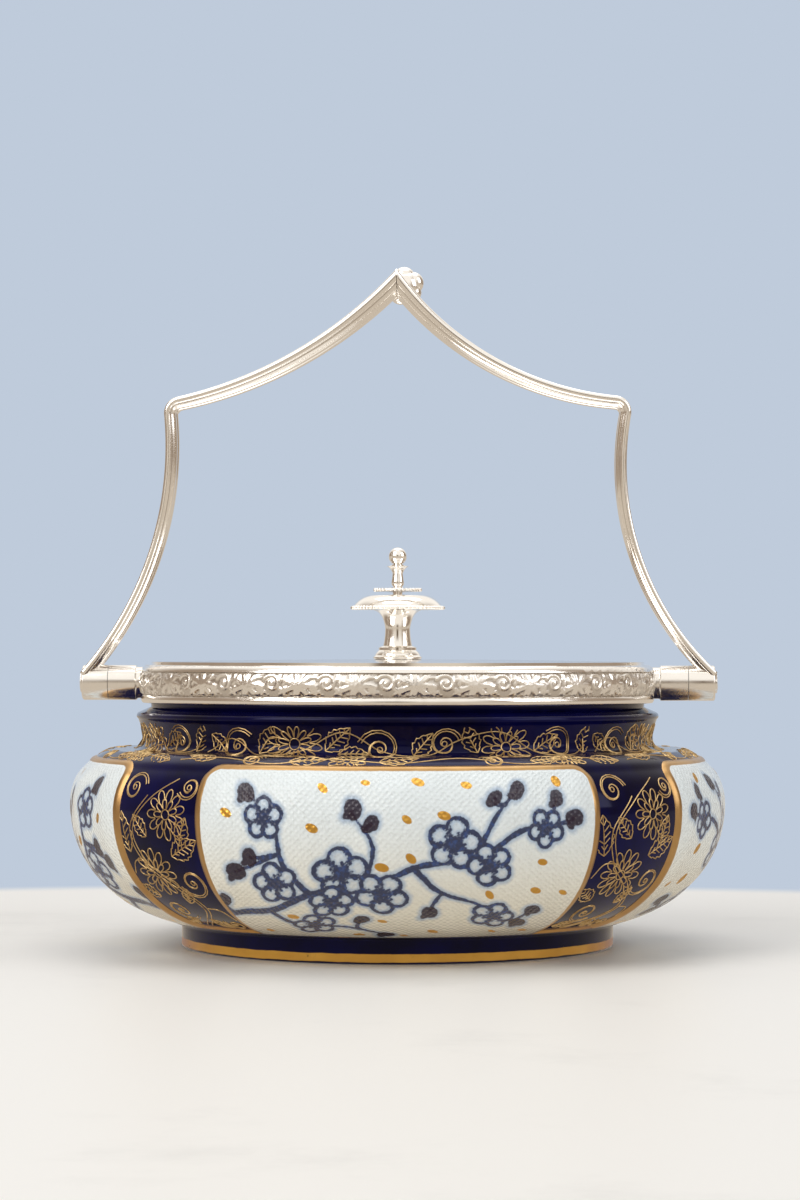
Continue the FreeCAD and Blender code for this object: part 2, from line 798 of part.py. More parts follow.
def make_strap_path(body, name, foot, peak, corner, arm_curve, top_curve):
    """The strap's outer edge, seen from the front: foot, arm, round shoulder, top, peak."""
    sketch = body.newObject("Sketcher::SketchObject", name)
    sketch.AttachmentSupport = [(origin_plane(body, "XZ_Plane"), "")]
    sketch.MapMode = "FlatFace"

    def flat(point):
        return FreeCAD.Vector(point[0].number, point[1].number, 0)

    def angle(centre, point):
        return math.atan2(point.y - centre.y, point.x - centre.x)

    curve = size.handle_shoulder_curve
    low, high, middle = flat(foot), flat(peak), flat(corner)
    arm_centre = touching_centre(low, arm_curve.number, middle, curve.number, -1)
    top_centre = touching_centre(high, top_curve.number, middle, curve.number, 1)
    arm_end = middle + (arm_centre - middle).normalize() * curve.number
    top_end = middle + (top_centre - middle).normalize() * curve.number
    spoke = (low - arm_centre).normalize()
    foot_heading = FreeCAD.Vector(spoke.y, -spoke.x, 0)
    spoke = (high - top_centre).normalize()
    peak_heading = FreeCAD.Vector(spoke.y, -spoke.x, 0)
    foot_end = low - foot_heading * size.strap_foot_run.number
    peak_end = high + peak_heading * size.strap_peak_run.number

    normal = FreeCAD.Vector(0, 0, 1)
    arcs = [
        (arm_centre, arm_curve, arm_end, low),
        (middle, curve, arm_end, top_end),
        (top_centre, top_curve, high, top_end),
    ]
    lines = [Part.LineSegment(foot_end, low), Part.LineSegment(high, peak_end)]
    for centre, radius, begin, end in arcs:
        circle = Part.Circle(centre, normal, radius.number)
        geometry = sketch.addGeometry(
            Part.ArcOfCircle(circle, angle(centre, begin), angle(centre, end))
        )
        index = sketch.addConstraint(Sketcher.Constraint("Radius", geometry, radius.number))
        sketch.setExpression(f"Constraints[{index}]", radius.formula)
    for shape in lines:
        sketch.addGeometry(shape)
    arm, shoulder, top, foot_line, peak_line = range(5)
    joins = [
        (foot_line, 2, arm, 2),
        (arm, 1, shoulder, 1),
        (shoulder, 2, top, 2),
        (top, 1, peak_line, 1),
    ]
    for join in joins:
        sketch.addConstraint(Sketcher.Constraint("Tangent", *join))
    pins = [(foot_line, 2, foot), (shoulder, 3, corner), (peak_line, 1, peak)]
    for geometry, position, point in pins:
        for kind, distance in zip(("DistanceX", "DistanceY"), point):
            index = sketch.addConstraint(
                Sketcher.Constraint(kind, -1, 1, geometry, position, distance.number)
            )
            sketch.setExpression(f"Constraints[{index}]", distance.formula)
    for geometry, run in ((foot_line, size.strap_foot_run), (peak_line, size.strap_peak_run)):
        index = sketch.addConstraint(Sketcher.Constraint("Distance", geometry, run.number))
        sketch.setExpression(f"Constraints[{index}]", run.formula)
    return sketch, (foot_end, foot_heading), (peak_end, peak_heading)


def make_strap(name, arm_curve, top_curve, side):
    """One half of the bail: a reeded strap bent from its barrel up to the peak."""
    foot = (handle_foot_reach, pivot_level + size.barrel_radius)
    peak = (measure(0), pivot_level + size.handle_peak_rise)
    corner = (
        handle_shoulder_reach - size.handle_shoulder_curve,
        pivot_level + size.handle_shoulder_rise - size.handle_shoulder_curve,
    )
    blank = new_body(name + "_blank")
    path, foot_end, peak_end = make_strap_path(
        blank, name + "_path", foot, peak, corner, arm_curve, top_curve
    )
    foot_section = strap_section(
        blank, name + "_foot_section", size.strap_foot_width, size.strap_foot_thickness, *foot_end
    )
    peak_section = strap_section(
        blank, name + "_peak_section", size.strap_top_width, size.strap_top_thickness, *peak_end
    )
    pipe = blank.newObject("PartDesign::AdditivePipe", name + "_sweep")
    pipe.Profile = foot_section
    pipe.Spine = (path, [""])
    pipe.Transformation = "Multisection"
    pipe.Sections = [(peak_section, [""])]

    # The strap ends on its barrel, at the barrel's outer end and at the seam on the peak
    room = size.handle_peak_rise
    barrel = doc.addObject("Part::Cylinder", name + "_barrel_room")
    barrel.setExpression("Radius", size.barrel_radius.formula)
    barrel.setExpression("Height", room.formula)
    place(barrel, x=hinge_reach, z=pivot_level, axis=(0, 1, 0), angle=90)
    beyond = doc.addObject("Part::Box", name + "_end_room")
    past_seam = doc.addObject("Part::Box", name + "_seam_room")
    outer_end = hinge_reach + size.barrel_length - size.barrel_edge
    for box, start in ((beyond, outer_end), (past_seam, -room)):
        box.setExpression("Length", room.formula)
        box.setExpression("Width", room.formula)
        box.setExpression("Height", (room * 2).formula)
        place(box, x=start, y=-room / 2, z=pivot_level - room / 2)
    trim = doc.addObject("Part::MultiFuse", name + "_trim")
    trim.Shapes = [barrel, beyond, past_seam]
    strap = doc.addObject("Part::Cut", name)
    strap.Label = name
    strap.Base = blank
    strap.Tool = trim
    strap.Placement = FreeCAD.Placement(
        FreeCAD.Vector(0, 0, 0), FreeCAD.Rotation(FreeCAD.Vector(0, 0, 1), 0 if side > 0 else 180)
    )
    return strap


def make_rosette():
    """A cast five-petal rosette, flat in front, soldered to the back edges of both straps."""
    centre_level = pivot_level + size.handle_peak_rise - size.rosette_drop
    back = size.strap_top_width / 2 + size.rosette_solder
    count = int(size.rosette_petals.number)
    spots = [(size.rosette_core_radius, size.rosette_aside, centre_level)]
    for petal in range(count):
        angle = size.rosette_turn + measure(360.0 / count) * petal
        across = size.rosette_aside + size.rosette_petal_reach * cosine(angle)
        up = centre_level + size.rosette_petal_reach * sine(angle)
        spots.append((size.rosette_petal_radius, across, up))
    lobes = []
    for number, (radius, across, up) in enumerate(spots):
        lobe = doc.addObject("Part::Sphere", f"rosette_lobe_{number}")
        lobe.setExpression("Radius", radius.formula)
        lobe.Angle1 = 0
        place(lobe, x=across, y=back, z=up, axis=(1, 0, 0), angle=-90)
        lobes.append(lobe)
    rosette = doc.addObject("Part::MultiFuse", "handle_rosette")
    rosette.Label = "handle_rosette"
    rosette.Shapes = lobes
    return rosette


envelope = make_collar_envelope()
straps = [
    make_strap("handle_left_half", size.left_arm_curve, size.left_top_curve, -1),
    make_strap("handle_right_half", size.right_arm_curve, size.right_top_curve, 1),
]
pieces = [
    make_bowl(),
    make_plaster_bed(),
    make_collar_bead(),
    make_collar_band(),
    make_collar_liner(),
    make_collar_moulding(),
    make_lid_plate(),
    make_lid_bezel(),
    *make_finial_pieces(),
    make_lug("left_hinge_lug", envelope, -90),
    make_lug("right_hinge_lug", envelope, 90),
    make_screw("left_pivot_screw", -90),
    make_screw("right_pivot_screw", 90),
    make_barrel("left_handle_barrel", -90),
    make_barrel("right_handle_barrel", 90),
    *straps,
    make_rosette(),
]
doc.recompute()

faults = [item.Label for item in doc.Objects if {"Invalid", "Error"} & set(item.State)]
faults += [piece.Label for piece in pieces if piece.Shape.isNull() or not piece.Shape.isValid()]
if faults:
    raise RuntimeError(f"These objects failed: {faults}")

os.makedirs("parts", exist_ok=True)
for piece in pieces:
    piece.Shape.exportStep(f"parts/{piece.Label}.step")
    solids = len(piece.Shape.Solids)
    print(f"{piece.Label}: {solids} solid, {piece.Shape.Volume / 1000:.3f} cubic centimetres")
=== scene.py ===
# %% [markdown]
# A round biscuit jar stands on a table: a glazed pottery bowl, a silver-plated collar, a flat lid
# with a turned finial, and a reeded handle that swings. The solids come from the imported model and
# stay where they are. This lesson gives them their glaze, gilding, print, relief and plate.

import math
import random

import bmesh
import bpy
import numpy as np
from mathutils import Matrix, Vector


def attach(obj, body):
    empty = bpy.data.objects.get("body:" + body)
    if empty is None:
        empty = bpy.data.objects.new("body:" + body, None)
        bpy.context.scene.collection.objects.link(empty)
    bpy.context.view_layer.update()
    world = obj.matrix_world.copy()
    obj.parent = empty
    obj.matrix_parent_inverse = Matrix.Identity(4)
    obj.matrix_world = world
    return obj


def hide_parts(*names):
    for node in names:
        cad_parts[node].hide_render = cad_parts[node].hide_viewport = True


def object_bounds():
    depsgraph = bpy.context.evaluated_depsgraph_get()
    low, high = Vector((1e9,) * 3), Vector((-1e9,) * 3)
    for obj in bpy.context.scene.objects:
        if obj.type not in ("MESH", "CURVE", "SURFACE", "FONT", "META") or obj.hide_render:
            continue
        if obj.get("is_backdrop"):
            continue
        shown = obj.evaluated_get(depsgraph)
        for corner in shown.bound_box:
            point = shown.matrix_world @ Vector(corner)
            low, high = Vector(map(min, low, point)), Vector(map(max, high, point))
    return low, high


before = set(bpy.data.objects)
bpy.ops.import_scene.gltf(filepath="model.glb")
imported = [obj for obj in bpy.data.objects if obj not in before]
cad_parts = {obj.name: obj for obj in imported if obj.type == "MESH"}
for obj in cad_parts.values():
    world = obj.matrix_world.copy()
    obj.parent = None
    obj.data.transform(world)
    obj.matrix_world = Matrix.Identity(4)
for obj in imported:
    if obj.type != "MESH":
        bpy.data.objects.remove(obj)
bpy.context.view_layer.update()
MM = 0.001
FULL_TURN = 2 * math.pi
print("nodes in the frame:", len(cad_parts))

# %% [markdown]
# The photograph was taken with a long lens from a little above the rim, so the camera stands
# nearly a metre away. The jar is turned a little, which brings the right hinge nearer.

# %% Camera
EYE_DISTANCE = 890 * MM
EYE_HEIGHT = 81 * MM
JAR_TURN = math.radians(2.5)
AIM_ASIDE = math.radians(0.04)
AIM_UP = math.radians(0.83)
LEAN = math.radians(0.05)
LENS = 97.7
SENSOR = 36.0

lens = bpy.data.cameras.new("camera")
lens.lens = LENS
lens.sensor_width = SENSOR
lens.clip_start = 0.05
lens.clip_end = 20
camera = bpy.data.objects.new("camera", lens)
bpy.context.scene.collection.objects.link(camera)
eye = Vector((math.sin(JAR_TURN) * EYE_DISTANCE, -math.cos(JAR_TURN) * EYE_DISTANCE, EYE_HEIGHT))
aim = (
    Matrix.Rotation(JAR_TURN - AIM_ASIDE, 4, "Z")
    @ Matrix.Rotation(math.pi / 2 + AIM_UP, 4, "X")
    @ Matrix.Rotation(LEAN, 4, "Z")
)
camera.matrix_world = Matrix.Translation(eye) @ aim
bpy.context.scene.camera = camera
bpy.context.scene.view_settings.view_transform = "Standard"
print("camera stands at, in mm:", [round(x / MM) for x in eye])

# %% [markdown]
# A finish is a tree of nodes. A small class keeps each step to one short line: it adds a node,
# joins a socket or sets a number, and knows the few textures that the jar's finishes share.

# %% A helper for finishes
class Nodes:
    """A tree of nodes, emptied first, with short ways to fill it."""

    def __init__(self, tree):
        self.tree = tree
        tree.nodes.clear()

    def add(self, kind, settings=(), **inputs):
        node = self.tree.nodes.new(kind)
        for name, value in dict(settings).items():
            setattr(node, name, value)
        for name, value in inputs.items():
            self.feed(node.inputs[name.replace("_", " ")], value)
        return node

    def feed(self, socket, value):
        if isinstance(value, bpy.types.NodeSocket):
            self.tree.links.new(value, socket)
        elif isinstance(socket.default_value, float):
            socket.default_value = value
        else:
            socket.default_value = (*value, 1.0)[: len(socket.default_value)]

    def feed_all(self, node, *values):
        for socket, value in zip(node.inputs, values):
            self.feed(socket, value)
        return node.outputs[0]

    def spot(self, kind="Object"):
        return self.add("ShaderNodeTexCoord").outputs[kind]

    def height(self):
        return self.add("ShaderNodeSeparateXYZ", Vector=self.spot()).outputs["Z"]

    def noise(self, scale, detail=3.0, roughness=0.55):
        node = self.add(
            "ShaderNodeTexNoise", Vector=self.spot(), Scale=scale, Detail=detail, Roughness=roughness
        )
        return node.outputs["Fac"]

    def field(self, name):
        return self.add("ShaderNodeAttribute", {"attribute_name": name}).outputs["Fac"]

    def step(self, value, low, high, start=0.0, end=1.0):
        """A smooth rise from start to end while value goes from low to high."""
        node = self.add("ShaderNodeMapRange", {"interpolation_type": "SMOOTHSTEP"})
        return self.feed_all(node, value, low, high, start, end)

    def sum(self, kind, first, second=0.0):
        return self.feed_all(self.add("ShaderNodeMath", {"operation": kind}), first, second)

    def blend(self, share, first, second):
        node = self.add("ShaderNodeMix", {"data_type": "RGBA"}, Factor=share)
        colours = [socket for socket in node.inputs if socket.type == "RGBA"]
        self.feed(colours[0], first)
        self.feed(colours[1], second)
        return next(socket for socket in node.outputs if socket.type == "RGBA")

    def choose(self, share, first, second):
        """One shader or another, by a share."""
        return self.feed_all(self.add("ShaderNodeMixShader"), share, first, second)

    def bump(self, height, depth, **under):
        node = self.add("ShaderNodeBump", Height=height, Distance=depth, Strength=1.0, **under)
        return node.outputs[0]


class Finish(Nodes):
    """One material, with its shader."""

    def __init__(self, name):
        self.material = bpy.data.materials.new(name)
        self.material.use_nodes = True
        super().__init__(self.material.node_tree)
        self.shader = self.add("ShaderNodeBsdfPrincipled")
        self.end = self.add("ShaderNodeOutputMaterial", Surface=self.shader.outputs[0])

    def set(self, **inputs):
        for name, value in inputs.items():
            self.feed(self.shader.inputs[name.replace("_", " ")], value)

    def darken(self, share, colour):
        """Blend the finish's own colour towards another, by a share."""
        under = self.shader.inputs["Base Color"].links[0].from_socket
        self.set(Base_Color=self.blend(share, under, colour))


def paint(red, green, blue):
    """A colour read off a picture, in 0 to 255, as the light that a shader wants."""
    shares = [part / 255 for part in (red, green, blue)]
    return tuple(s / 12.92 if s <= 0.04045 else ((s + 0.055) / 1.055) ** 2.4 for s in shares)


print("paint(220, 220, 218) is", [round(part, 2) for part in paint(220, 220, 218)])

# %% [markdown]
# The pale floor is a wide disc. From a hand's width behind the jar the camera sees it in the wall's
# colour, so that no horizon crosses the picture. The plate mirrors it as one flat tone, which
# keeps the straps free of speckles.

# %% Floor
WALL = paint(191, 203, 219)
TABLE = paint(241, 238, 233)
TABLE_VEIN = paint(206, 204, 200)
TABLE_MIRRORED = paint(206, 193, 176)
TABLE_MIDDLE = (0.0, -0.25, 0.0)
TABLE_REACH = 0.45
TABLE_FADE = 0.03
FLOOR_RADIUS = 3.0

floor_mesh = bmesh.new()
bmesh.ops.create_circle(floor_mesh, cap_ends=True, radius=FLOOR_RADIUS, segments=96)
floor_data = bpy.data.meshes.new("floor")
floor_mesh.to_mesh(floor_data)
floor_mesh.free()
floor = bpy.data.objects.new("floor", floor_data)
bpy.context.scene.collection.objects.link(floor)
floor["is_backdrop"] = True

marble = Finish("pale_table")
vein = marble.step(marble.noise(9.0, 6.0, 0.7), 0.52, 0.7, 0, 0.25)
marble.set(Base_Color=marble.blend(vein, TABLE, TABLE_VEIN), Roughness=0.45)
away = marble.add("ShaderNodeVectorMath", {"operation": "DISTANCE"})
marble.feed_all(away, marble.spot(), TABLE_MIDDLE)
far = marble.step(away.outputs["Value"], TABLE_REACH, TABLE_REACH + TABLE_FADE)
ray = marble.add("ShaderNodeLightPath").outputs
wall_light = marble.add("ShaderNodeEmission", Color=WALL).outputs[0]
flat_light = marble.add("ShaderNodeEmission", Color=TABLE_MIRRORED).outputs[0]
seen_far = marble.sum("MULTIPLY", far, ray["Is Camera Ray"])
table = marble.choose(seen_far, marble.shader.outputs[0], wall_light)
marble.feed(marble.end.inputs["Surface"], marble.choose(ray["Is Glossy Ray"], table, flat_light))
floor_data.materials.append(marble.material)
print("floor's radius in m:", FLOOR_RADIUS)

# %% [markdown]
# Light comes from a broad window high on the left and a weaker one on the right. The plate
# mirrors a warm room with a dark place low in front and dim sides, and it finds the wall's colour
# only in a narrow cone straight behind the jar.

# %% Room and lamps
ROOM_WARM = (1.05, 1.0, 0.93)
ROOM_MID = paint(222, 211, 196)
ROOM_DARK = paint(112, 96, 80)
ROOM_SIDE = paint(158, 140, 122)
SOFT_LIGHT = (1.0, 0.985, 0.96)
SOFT_STRENGTH = 0.42
LAMP_AIM = Vector((0, 0, 0.08))
# Each pair is where a tone of the room begins and is full, as a part of the direction looked in.
BEHIND = (0.82, 0.98)
RAISED = (0.05, 0.42)
SIDEWAYS = (0.45, 0.85)
BESIDE_EYE = (0.08, 0.2)
ABOVE_EYE = (0.2, 0.36)

room = bpy.data.worlds.new("room")
bpy.context.scene.world = room
room.use_nodes = True
air = Nodes(room.node_tree)
toward = air.add("ShaderNodeSeparateXYZ", Vector=air.spot("Generated")).outputs
outward = air.sum("ABSOLUTE", toward["X"])
behind_jar = air.step(toward["Y"], *BEHIND)
raised = air.step(toward["Z"], *RAISED)
sideways = air.step(outward, *SIDEWAYS)
past_eye = air.sum(
    "MAXIMUM", air.step(outward, *BESIDE_EYE), air.step(toward["Z"], *ABOVE_EYE)
)
front = air.blend(past_eye, ROOM_DARK, air.blend(raised, ROOM_MID, ROOM_WARM))
seen_room = air.blend(behind_jar, air.blend(sideways, front, ROOM_SIDE), WALL)
mirrored = air.add("ShaderNodeBackground", Color=seen_room).outputs[0]
plain_wall = air.add("ShaderNodeBackground", Color=WALL).outputs[0]
soft = air.add("ShaderNodeBackground", Color=SOFT_LIGHT, Strength=SOFT_STRENGTH).outputs[0]
ray = air.add("ShaderNodeLightPath").outputs
lit = air.choose(ray["Is Glossy Ray"], soft, mirrored)
air.add("ShaderNodeOutputWorld", Surface=air.choose(ray["Is Camera Ray"], lit, plain_wall))


def lamp(name, spot, size, watts, colour):
    light = bpy.data.lights.new(name, "AREA")
    light.shape = "RECTANGLE"
    light.size, light.size_y = size
    light.energy = watts
    light.color = colour
    holder = bpy.data.objects.new(name, light)
    spot = Vector(spot)
    facing = (LAMP_AIM - spot).to_track_quat("-Z", "Y").to_matrix().to_4x4()
    holder.matrix_world = Matrix.Translation(spot) @ facing
    bpy.context.scene.collection.objects.link(holder)
    return holder


lamps = [
    lamp("window_left", (-1.0, -0.9, 1.0), (0.9, 1.2), 13.0, (1.0, 0.98, 0.95)),
    lamp("window_right", (1.2, -0.5, 0.7), (0.7, 0.9), 5.0, (0.96, 0.98, 1.0)),
    lamp("ceiling", (0.0, 0.3, 1.5), (1.2, 1.2), 7.0, (1.0, 1.0, 1.0)),
]
print("lamps:", [light.name for light in lamps])

# %% [markdown]
# Silver plate on this jar is bright where it is rubbed, with patches of warm grey tarnish, and
# painted shade darkens its folds. The metal is fully metallic, its roughness drifts a little with
# old polishing, and fine hairlines break the reflections. Other versions are smoother for the lid,
# duller for the hinges and darker in the hollows of the pressed relief, which is painted shade.

# %% Silver plate
SILVER = (0.93, 0.905, 0.87)
SILVER_TARNISH = paint(168, 142, 112)
RECESS_SHADE_BROWN = paint(112, 92, 70)
RECESS_SHADE_SHARE = 0.34
RECESS_SHADE_END = 0.38


def silver_finish(name, roughness, hairline, tarnish):
    finish = Finish(name)
    cloud = finish.noise(70.0, 4.0, 0.6)
    stain = finish.step(finish.noise(24.0, 5.0, 0.65), 0.55, 0.8, 0.0, tarnish)
    finish.set(
        Base_Color=finish.blend(stain, SILVER, SILVER_TARNISH),
        Metallic=1.0,
        Roughness=finish.step(cloud, 0.3, 0.75, roughness * 0.7, roughness * 1.5),
        Normal=finish.bump(finish.noise(180.0, 2.0, 0.5), hairline * MM),
    )
    return finish


plate = silver_finish("silver_plate", 0.16, 0.01, 0.3)
mirror_plate = silver_finish("silver_plate_lid", 0.1, 0.004, 0.25)
hinge_plate = silver_finish("silver_plate_hinge", 0.2, 0.02, 0.5)
relief_plate = silver_finish("silver_plate_relief", 0.26, 0.004, 0.2)
# Painted shade: where the relief is low, its colour is darkened towards a warm brown, as shade in
# the hollows.
hollow_shade = relief_plate.step(relief_plate.field("relief"), 0.0, RECESS_SHADE_END, RECESS_SHADE_SHARE, 0.0)
relief_plate.darken(hollow_shade, RECESS_SHADE_BROWN)
print("nodes in the relief's finish:", len(relief_plate.tree.nodes))

# %% Plain metal and plaster
BRASS = (paint(176, 148, 92), paint(128, 104, 66))
PLASTER = (paint(226, 220, 206), paint(188, 178, 160))

brass = Finish("plain_brass")
brass_cloud = brass.noise(160.0, 4.0)
brass.set(
    Base_Color=brass.blend(brass_cloud, *BRASS),
    Metallic=1.0,
    Roughness=brass.step(brass_cloud, 0.3, 0.7, 0.28, 0.5),
    Normal=brass.bump(brass.noise(1200.0), 0.01 * MM),
)
plaster = Finish("plaster")
crumbs = plaster.noise(420.0, 6.0, 0.7)
plaster.set(
    Base_Color=plaster.blend(crumbs, *PLASTER),
    Roughness=0.9,
    Normal=plaster.bump(crumbs, 0.12 * MM),
)
print("plain finishes:", brass.material.name, plaster.material.name)

# %% Give the plated and plain nodes their finish
FINISHED = {
    plaster: ("plaster_bed",),
    plate: (
        "collar_bottom_bead", "collar_liner", "collar_top_moulding", "handle_left_half",
        "handle_right_half", "handle_rosette", "lid_bezel", "finial_rope_disc",
    ),
    hinge_plate: (
        "left_hinge_lug", "right_hinge_lug", "left_pivot_screw", "right_pivot_screw",
        "left_handle_barrel", "right_handle_barrel",
    ),
    mirror_plate: (
        "lid_plate", "finial_base", "finial_stem", "finial_saucer", "finial_vase", "finial_ball",
    ),
    brass: ("finial_stud", "finial_washer", "finial_nut"),
}
for finish, names in FINISHED.items():
    for name in names:
        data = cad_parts[name].data
        data.materials.clear()
        data.materials.append(finish.material)
print("finished CAD nodes:", sum(len(names) for names in FINISHED.values()))

# %% [markdown]
# The bowl is one turned form, so its section is drawn once and spun. The section is the same run
# of lines and arcs as the solid's. A small pen draws it: it can go straight, go round an arc of
# a known radius, or leave the last piece smoothly.

# %% A pen for turned sections
class Pen:
    """Draws a section in radius and height, in millimetres, with a point every so often."""

    def __init__(self, start, spacing=0.7):
        self.points = [np.array(start, float)]
        self.heading = None
        self.spacing = spacing

    def line(self, *end):
        start, end = self.points[-1], np.array(end, float)
        reach = np.linalg.norm(end - start)
        self.heading = (end - start) / reach
        count = max(1, round(reach / self.spacing))
        self.points += [start + (end - start) * (k + 1) / count for k in range(count)]
        return self

    def _round(self, centre, end):
        start = self.points[-1]
        first, last = start - centre, np.array(end, float) - centre
        turn = math.atan2(first[0] * last[1] - first[1] * last[0], first @ last)
        count = max(2, round(abs(turn) * np.linalg.norm(first) / self.spacing))
        for k in range(1, count + 1):
            c, s = math.cos(turn * k / count), math.sin(turn * k / count)
            spoke_on = (first[0] * c - first[1] * s, first[0] * s + first[1] * c)
            self.points.append(centre + np.array(spoke_on))
        spoke = last / np.linalg.norm(last)
        self.heading = np.array([-spoke[1], spoke[0]]) * (1 if turn > 0 else -1)
        return self

    def arc(self, across, up, radius, left=True):
        start, end = self.points[-1], np.array([across, up], float)
        chord = end - start
        side = np.array([-chord[1], chord[0]]) / np.linalg.norm(chord) * (1 if left else -1)
        rise = math.sqrt(radius ** 2 - (chord @ chord) / 4)
        return self._round(start + chord / 2 + side * rise, end)

    def smooth(self, across, up):
        start, end = self.points[-1], np.array([across, up], float)
        chord = end - start
        side = np.array([-self.heading[1], self.heading[0]])
        return self._round(start + side * (chord @ chord) / (2 * chord @ side), end)


# %% Draw the bowl's section
BELLY_RADIUS = 88.3
NECK_START = (70.6, 61.6)
MOUTH = (62.6, 74.5)
SHOULDER_HEIGHT = 53.4
SHOULDER_FADE = 3.0
GLAZE_SINK = 0.5


def run_along(points):
    """How far along a line each of its points lies."""
    steps = np.linalg.norm(np.diff(points, axis=0), axis=1)
    return np.concatenate([[0], np.cumsum(steps)])


foot_pen = Pen((0, 2.4), 3.0).line(50.8, 2.4)
foot_pen.spacing = 0.6
foot_pen.smooth(53.2, 0).line(58.1, 0).smooth(58.7, 0.6).line(58.7, 6.3).line(61.2, 6.9)
body_pen = Pen((61.8, 7.5), 0.6)
body_pen.arc(81.4, 19.5, 38.7).arc(BELLY_RADIUS, 38.5, 29.5).smooth(83.6, 50.0)
body_pen.smooth(78.5, SHOULDER_HEIGHT).line(72.3, SHOULDER_HEIGHT).smooth(69.3, 57.0)
body_pen.smooth(*NECK_START)
throat_pen = Pen(NECK_START, 0.4).arc(70.6, 63.3, 1.0).line(67.2, 64.8)
throat_pen.spacing = 2.0
throat_pen.line(67.2, 74.5).line(*MOUTH)
inside_pen = Pen(MOUTH, 2.5).line(62.6, 57.0).line(73.9, 48.8).smooth(79.0, 45.4)
inside_pen.smooth(83.7, 38.5).arc(77.87, 22.5, 24.9, left=False).smooth(53.2, 7.6).line(0, 7.6)

body_line = np.array(body_pen.points)
run = run_along(body_line)
slope = np.gradient(body_line, run, axis=0)
below_neck = len(run) * 3 // 4
shoulder_run = float(np.interp(SHOULDER_HEIGHT, body_line[:below_neck, 1], run[:below_neck]))
print("decorated run in mm:", round(run[-1], 1), "shoulder at", round(shoulder_run, 1))


def smooth_rise(value, low, high):
    share = np.clip((value - low) / (high - low), 0, 1)
    return share * share * (3 - 2 * share)


def on_bowl(angle, up, proud=0.0):
    """Points on the bowl, from an angle, a run up the section in mm and a height above the glaze."""
    sunk = GLAZE_SINK * (1 - smooth_rise(up, shoulder_run - SHOULDER_FADE, shoulder_run))
    lift = proud - sunk
    radius = np.interp(up, run, body_line[:, 0]) + np.interp(up, run, slope[:, 1]) * lift
    height = np.interp(up, run, body_line[:, 1]) - np.interp(up, run, slope[:, 0]) * lift
    return np.stack([radius * np.cos(angle), radius * np.sin(angle), height], axis=-1) * MM


# %% Spin the bowl
BOWL_STEPS = 360


def add_profile(mesh, points):
    corners = [mesh.verts.new((radius * MM, 0, height * MM)) for radius, height in points]
    edges = [mesh.edges.new(pair) for pair in zip(corners, corners[1:])]
    return corners + edges


def spin_round(mesh, geometry, steps):
    bmesh.ops.spin(
        mesh, geom=geometry, cent=(0, 0, 0), axis=(0, 0, 1), angle=FULL_TURN, steps=steps,
        use_merge=True,
    )


def move_to(mesh, spots):
    for vertex, spot_on in zip(mesh.verts, spots):
        vertex.co = spot_on


def keep_field(piece, name, values):
    """Store one number for each vertex, for the finish to read."""
    layer = piece.data.attributes.new(name, "FLOAT", "POINT")
    layer.data.foreach_set("value", values.astype(np.float32))


def make_piece(name, mesh, finishes, body):
    """Turn a finished bmesh into an object that rides on a body."""
    data = bpy.data.meshes.new(name)
    mesh.to_mesh(data)
    mesh.free()
    for finish in finishes:
        data.materials.append(finish.material)
    data.polygons.foreach_set("use_smooth", [True] * len(data.polygons))
    piece = bpy.data.objects.new(name, data)
    bpy.context.scene.collection.objects.link(piece)
    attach(piece, body)
    return piece


body_run = on_bowl(0.0, run)[:, [0, 2]] / MM
outer_points = foot_pen.points + list(body_run) + throat_pen.points[1:]
bowl_mesh = bmesh.new()
for points, index in ((outer_points, 0), (inside_pen.points, 1)):
    before = set(bowl_mesh.faces)
    spin_round(bowl_mesh, add_profile(bowl_mesh, points), BOWL_STEPS)
    for face in bowl_mesh.faces:
        if face not in before:
            face.material_index = index
bmesh.ops.remove_doubles(bowl_mesh, verts=bowl_mesh.verts, dist=0.001 * MM)
bmesh.ops.recalc_face_normals(bowl_mesh, faces=bowl_mesh.faces)
print("bowl faces:", len(bowl_mesh.faces))

# %% [markdown]
# Cobalt glaze is nearly black where it is thick and a clear violet blue where light gets in. It
# lies under a hard gloss. The foot carries a hand-painted gold band and a gold line runs where the
# body meets the foot, so both follow the height, with a little wander at their edges.

# %% Cobalt glaze with the gilt bands of the foot
COBALT = paint(8, 9, 58)
COBALT_THICK = paint(9, 7, 30)
GLAZE_SHEEN = (0.5, 0.5, 1.0)
GOLD = paint(232, 182, 84)
GOLD_WORN = paint(186, 136, 60)
BORDER_GOLD = paint(206, 168, 112)
BORDER_WORN = paint(158, 120, 76)
FOOT_BAND = (0.6 * MM, 2.7 * MM, 0.12 * MM)
BASE_LINE = (7.25 * MM, 8.05 * MM, 0.1 * MM)
BAND_WANDER = 0.5 * MM


def band(finish, value, low, high, soft):
    rise = finish.step(value, low - soft, low + soft)
    fall = finish.step(value, high - soft, high + soft, 1.0, 0.0)
    return finish.sum("MULTIPLY", rise, fall)


